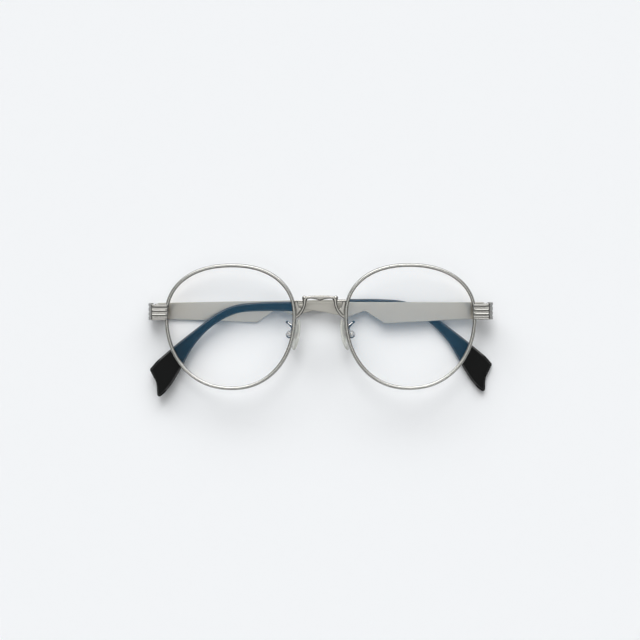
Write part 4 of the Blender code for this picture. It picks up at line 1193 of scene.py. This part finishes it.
def arm_path():
    """The wire's route for the wearer's left, from the rim's back to the box."""
    x, y, z = PAD_PIVOT
    start_z = RIM_FORWARD + RIM_NOSE * math.sin(FACE_WRAP) - RIM_DEPTH / 2 - ARM_RADIUS
    start_x = float(rim_nose_edge(ARM_LEVEL)) + RIM_FACE / 2
    out_x, out_y, out_z = start_x + ARM_OUT, ARM_LEVEL + ARM_UP, start_z - ARM_FALL
    route = [
        (start_x, ARM_LEVEL, start_z),
        ((start_x + out_x) / 2, (ARM_LEVEL + out_y) / 2, (start_z + out_z) / 2),
        (out_x, out_y, out_z),
        (out_x + ARM_RADIUS, out_y + ARM_RADIUS / 2, out_z - ARM_TURN / 2),
        (out_x, out_y, out_z - ARM_TURN),
        (x - ARM_ELBOW[0], y + ARM_ELBOW[1], z + ARM_ELBOW[2]),
        (x - ARM_ENTRY[0], y + ARM_ENTRY[1], z),
    ]
    return smooth(route, 10)


def box_parts():
    """Two cheeks, each with a groove round its boss, and the wall that joins them on the side away
    from the nose. The cheek's section is given as (radius, height, fillet)."""
    low, top, boss = BOX_CHEEK - BOX_GROOVE, BOX_CHEEK, BOX_RADIUS - BOX_BOSS
    loop = [(BOX_BORE, 0, 0.06), (BOX_RADIUS, 0, 0.1), (BOX_RADIUS, top - BOX_LIP, 0.05)]
    loop += [(BOX_RADIUS - BOX_BOSS / 2, low, 0.03), (boss, top, 0.04), (BOX_BORE, top, 0.1)]
    cheek = collar(filleted(loop, 5))
    raised = Matrix.Translation((0, 0, BOX_SLOT))
    angle = np.radians(np.linspace(WALL_FROM, WALL_TO, 30))
    ray = np.c_[np.cos(angle), np.sin(angle)]
    reach = BOX_SLOT + WALL_INTO
    wall = bar(ray * (BOX_RADIUS - BOX_WALL), ray * BOX_RADIUS, reach, -reach, WALL_SQUARE)
    lower = Matrix.Translation((0, 0, -BOX_SLOT)) @ Matrix.Rotation(math.pi, 4, "X")
    return [moved(cheek, raised), moved(cheek, lower), wall]


for name, side in SIDES:
    boxes = [moved(part, Matrix.Translation(PAD_PIVOT)) for part in box_parts()]
    arm = mesh_of("arm", [wire(arm_path(), ARM_RADIUS), *boxes], FRONT @ FLIP[side])
    arm = melted(arm, *MELT_ARM)
    add_piece(f"{name}_guard_arm", arm, WIRE, "front", f"{name}_pad_arm")
    x, y, z = PAD_PIVOT
    seat = Matrix.Translation((side * x, y, z + BOX_SLOT + BOX_CHEEK + RUN_GAP))
    size = PAD_SHANK, PAD_HEAD, 2 * (BOX_SLOT + BOX_CHEEK) + RUN_GAP
    add_screw(f"{name}_slotted_pad_screw", f"{name}_pad_screw", *size, FRONT @ seat)

# %% [markdown]
# ## Nose pads
#
# A pad is a soft drop-shaped cushion, broader below, that leans back and splays to follow the
# nose. Its skin is a superellipsoid: rings that grow from the middle of one face to the rim and
# shrink again on the other. It has a metal stem moulded in, with a rounded eye for the screw.

# %% Nose pads
PAD_TALL, PAD_WIDE, PAD_TAPER, PAD_THICK = 12.8, 6.2, 0.18, 1.4
PAD_REACH, PAD_LEAN, PAD_SPLAY = 2.75, math.radians(10), math.radians(18)
PAD_HOLLOW, HOLLOW_LEVEL = 0.25, 0.3
STEM_THICK, STEM_TALL, STEM_ROUND = 0.6, 1.7, 0.68
STEM_INTO, STEM_CORNER, STEM_EDGE, STEM_EYE = 0.1, 0.2, 0.1, 0.48


def pad_skin(rings=30, around=96):
    """Rings at the angle s from one face's middle: their size is sin(s) ** 0.45, their height
    cos(s) ** 0.8 times half the thickness, plus PAD_HOLLOW times the square of the level's share
    of half the pad's, less HOLLOW_LEVEL."""
    s = np.linspace(0, math.pi, rings)[:, None]
    angle = turns(around)[None, :]
    size = np.sin(s) ** 0.45
    tall = size * np.sin(angle) * PAD_TALL / 2
    wide = size * np.cos(angle) * PAD_WIDE / 2 * (1 - PAD_TAPER * np.sin(angle))
    thick = bent(np.cos(s), 0.8) * PAD_THICK / 2 + 0 * angle
    thick = thick + PAD_HOLLOW * ((2 * tall / PAD_TALL) ** 2 - HOLLOW_LEVEL)
    return skin(np.dstack([thick, tall, wide]), "poles")


def stem_parts():
    """The stem for the wearer's left: a slab from inside the pad to its rounded eye."""
    half, start = STEM_TALL / 2, STEM_INTO - PAD_REACH
    corners = [(start, -half, STEM_CORNER), (half, -half, STEM_ROUND)]
    corners += [(half, half, STEM_ROUND), (start, half, STEM_CORNER)]
    return [slab(filleted(corners, 12), -STEM_THICK / 2, STEM_THICK / 2, STEM_EDGE)]


lean = Matrix.Rotation(PAD_LEAN, 4, "Z") @ Matrix.Rotation(-PAD_SPLAY, 4, "Y")
pad_part = moved(pad_skin(), Matrix.Translation((-PAD_REACH, 0, 0)) @ lean)
for name, side in SIDES:
    place = PAD_FRAME[name] @ FLIP[side]
    body = f"{name}_pad"
    pad = mesh_of("pad", [pad_part], place)
    add_piece(f"{name}_soft_pad", pad, SILICONE, body, f"{name}_nose_pad")
    stem = without(mesh_of("stem", stem_parts(), place), [drill(STEM_EYE, 2)], place)
    add_piece(f"{name}_moulded_stem", stem, BRIGHT, body, f"{name}_pad_stem")

# %% [markdown]
# ## Floor, light and camera
#
# The glasses lie on a pale, slightly cool sheet under soft light. A world that is bright overhead
# and darker near the horizon gives metal its bright middles and dark edges, and a long window at
# the brow side lights the edges that face it. A wide sun from there draws the soft shadows. The
# world shows the sheet's colour to the camera and through the lenses, so the sheet seems to have
# no end.

# %% Floor, light and camera
PAPER = (0.896, 0.913, 0.930)
FLOOR_SIZE = 6.0
LIGHT_LEVEL = 0.97
LIGHT_FROM = Vector((-0.03, 0.819, 0.574)).normalized()
LIGHT_LONG = 0.35
WINDOW = [(0.0, 0.0), (0.93, 0.0), (0.98, 3.3), (1.0, 5.5)]
CEILING = [(0.0, 0.26), (0.2, 0.12), (0.5, 0.08), (0.8, 0.24), (0.93, 0.9), (1.0, 1.02)]
SUN_ENERGY, SUN_WIDE, SUN_AZIMUTH, SUN_HEIGHT = 0.7, 24.0, -8.0, 57.0
CAMERA_PLACE, CAMERA_ROLL, CAMERA_LENS = (-0.00028, 0.0040, 1.013), -0.12, 140.6


def make_floor():
    """The sheet's own colour is such that it shows PAPER under light of LIGHT_LEVEL."""
    bpy.ops.mesh.primitive_circle_add(vertices=96, radius=FLOOR_SIZE, fill_type="NGON")
    floor = bpy.context.object
    floor.name = "paper_floor"
    material, tree, shader = new_material("paper")
    colour = (*[c / LIGHT_LEVEL for c in PAPER], 1)
    set_inputs(tree, shader, Base_Color=colour, Roughness=1.0, Specular_IOR_Level=0.0)
    floor.data.materials.append(material)
    floor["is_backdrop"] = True


def brightness_ramp(tree, place, stops):
    """A grey ramp over a place from 0 to 1, from (position, brightness) stops."""
    ramp = add_node(tree, "ShaderNodeValToRGB", Fac=place)
    while len(ramp.color_ramp.elements) < len(stops):
        ramp.color_ramp.elements.new(0.5)
    for element, (at, value) in zip(ramp.color_ramp.elements, stops):
        element.position = at
        element.color = (value, value, value, 1)
    return ramp.outputs["Color"]


def make_world():
    """Brightness in a direction is the sum of two: a ceiling, by the direction's height z, and a
    long window, by its cosine with LIGHT_FROM after its x is multiplied by LIGHT_LONG, which draws
    the window out sideways. The camera sees the sheet's colour instead, and so do rays through a
    lens that no metal has reflected."""
    world = bpy.data.worlds.new("studio")
    bpy.context.scene.world = world
    world.use_nodes = True
    tree = world.node_tree
    tree.nodes.clear()
    place = add_node(tree, "ShaderNodeTexCoord").outputs["Generated"]
    drawn = add_math(tree, "MULTIPLY", place, (LIGHT_LONG, 1.0, 1.0), kind=VECTOR)
    unit = add_math(tree, "NORMALIZE", drawn, kind=VECTOR)
    towards = add_math(tree, "DOT_PRODUCT", unit, LIGHT_FROM, kind=VECTOR, output="Value")
    height = add_node(tree, "ShaderNodeSeparateXYZ", Vector=place).outputs["Z"]
    window = brightness_ramp(tree, towards, WINDOW)
    ceiling = brightness_ramp(tree, height, CEILING)
    both = add_math(tree, "ADD", window, ceiling, kind=VECTOR)
    path = add_node(tree, "ShaderNodeLightPath").outputs
    direct = add_math(tree, "LESS_THAN", path["Glossy Depth"], 0.5)
    through_lens = add_math(tree, "MULTIPLY", path["Is Transmission Ray"], direct)
    seen = add_math(tree, "MAXIMUM", path["Is Camera Ray"], through_lens)
    light = add_node(tree, "ShaderNodeBackground", Color=both)
    sheet = add_node(tree, "ShaderNodeBackground", Color=(*PAPER, 1))
    choose = add_node(tree, "ShaderNodeMixShader")
    for socket, value in zip(choose.inputs, (seen, light.outputs[0], sheet.outputs[0])):
        feed(tree, socket, value)
    add_node(tree, "ShaderNodeOutputWorld", Surface=choose.outputs[0])


def add_sun():
    """A sun whose light comes from an azimuth round the object, 0 from the brow side."""
    sun = bpy.data.lights.new("window", "SUN")
    sun.energy = SUN_ENERGY
    sun.angle = math.radians(SUN_WIDE)
    a, e = math.radians(SUN_AZIMUTH), math.radians(SUN_HEIGHT)
    towards = Vector((math.sin(a) * math.cos(e), math.cos(a) * math.cos(e), math.sin(e)))
    holder = placed("window", sun)
    holder.rotation_euler = towards.to_track_quat("Z", "Y").to_euler()
    holder.visible_glossy = False
    holder.visible_transmission = False


def add_camera():
    """A long lens straight above the glasses, rolled a little as in the photograph."""
    camera = bpy.data.cameras.new("camera")
    camera.lens = CAMERA_LENS
    camera.sensor_width = 36.0
    camera.clip_start, camera.clip_end = 0.01, 20.0
    holder = placed("camera", camera)
    holder.location = CAMERA_PLACE
    holder.rotation_euler = (0, 0, math.radians(CAMERA_ROLL))
    bpy.context.scene.camera = holder


make_floor()
make_world()
add_sun()
add_camera()
bpy.context.scene.view_settings.view_transform = "Standard"
print("lit from", [round(x, 3) for x in LIGHT_FROM], "at level", LIGHT_LEVEL)

# %% [markdown]
# ## Sizes and the end
#
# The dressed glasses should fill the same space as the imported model.

# %% Sizes and the end
boxes = {"cad": cad_box, "visual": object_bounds()}
print({key: [round(x / MM, 2) for x in box[1] - box[0]] for key, box in boxes.items()})
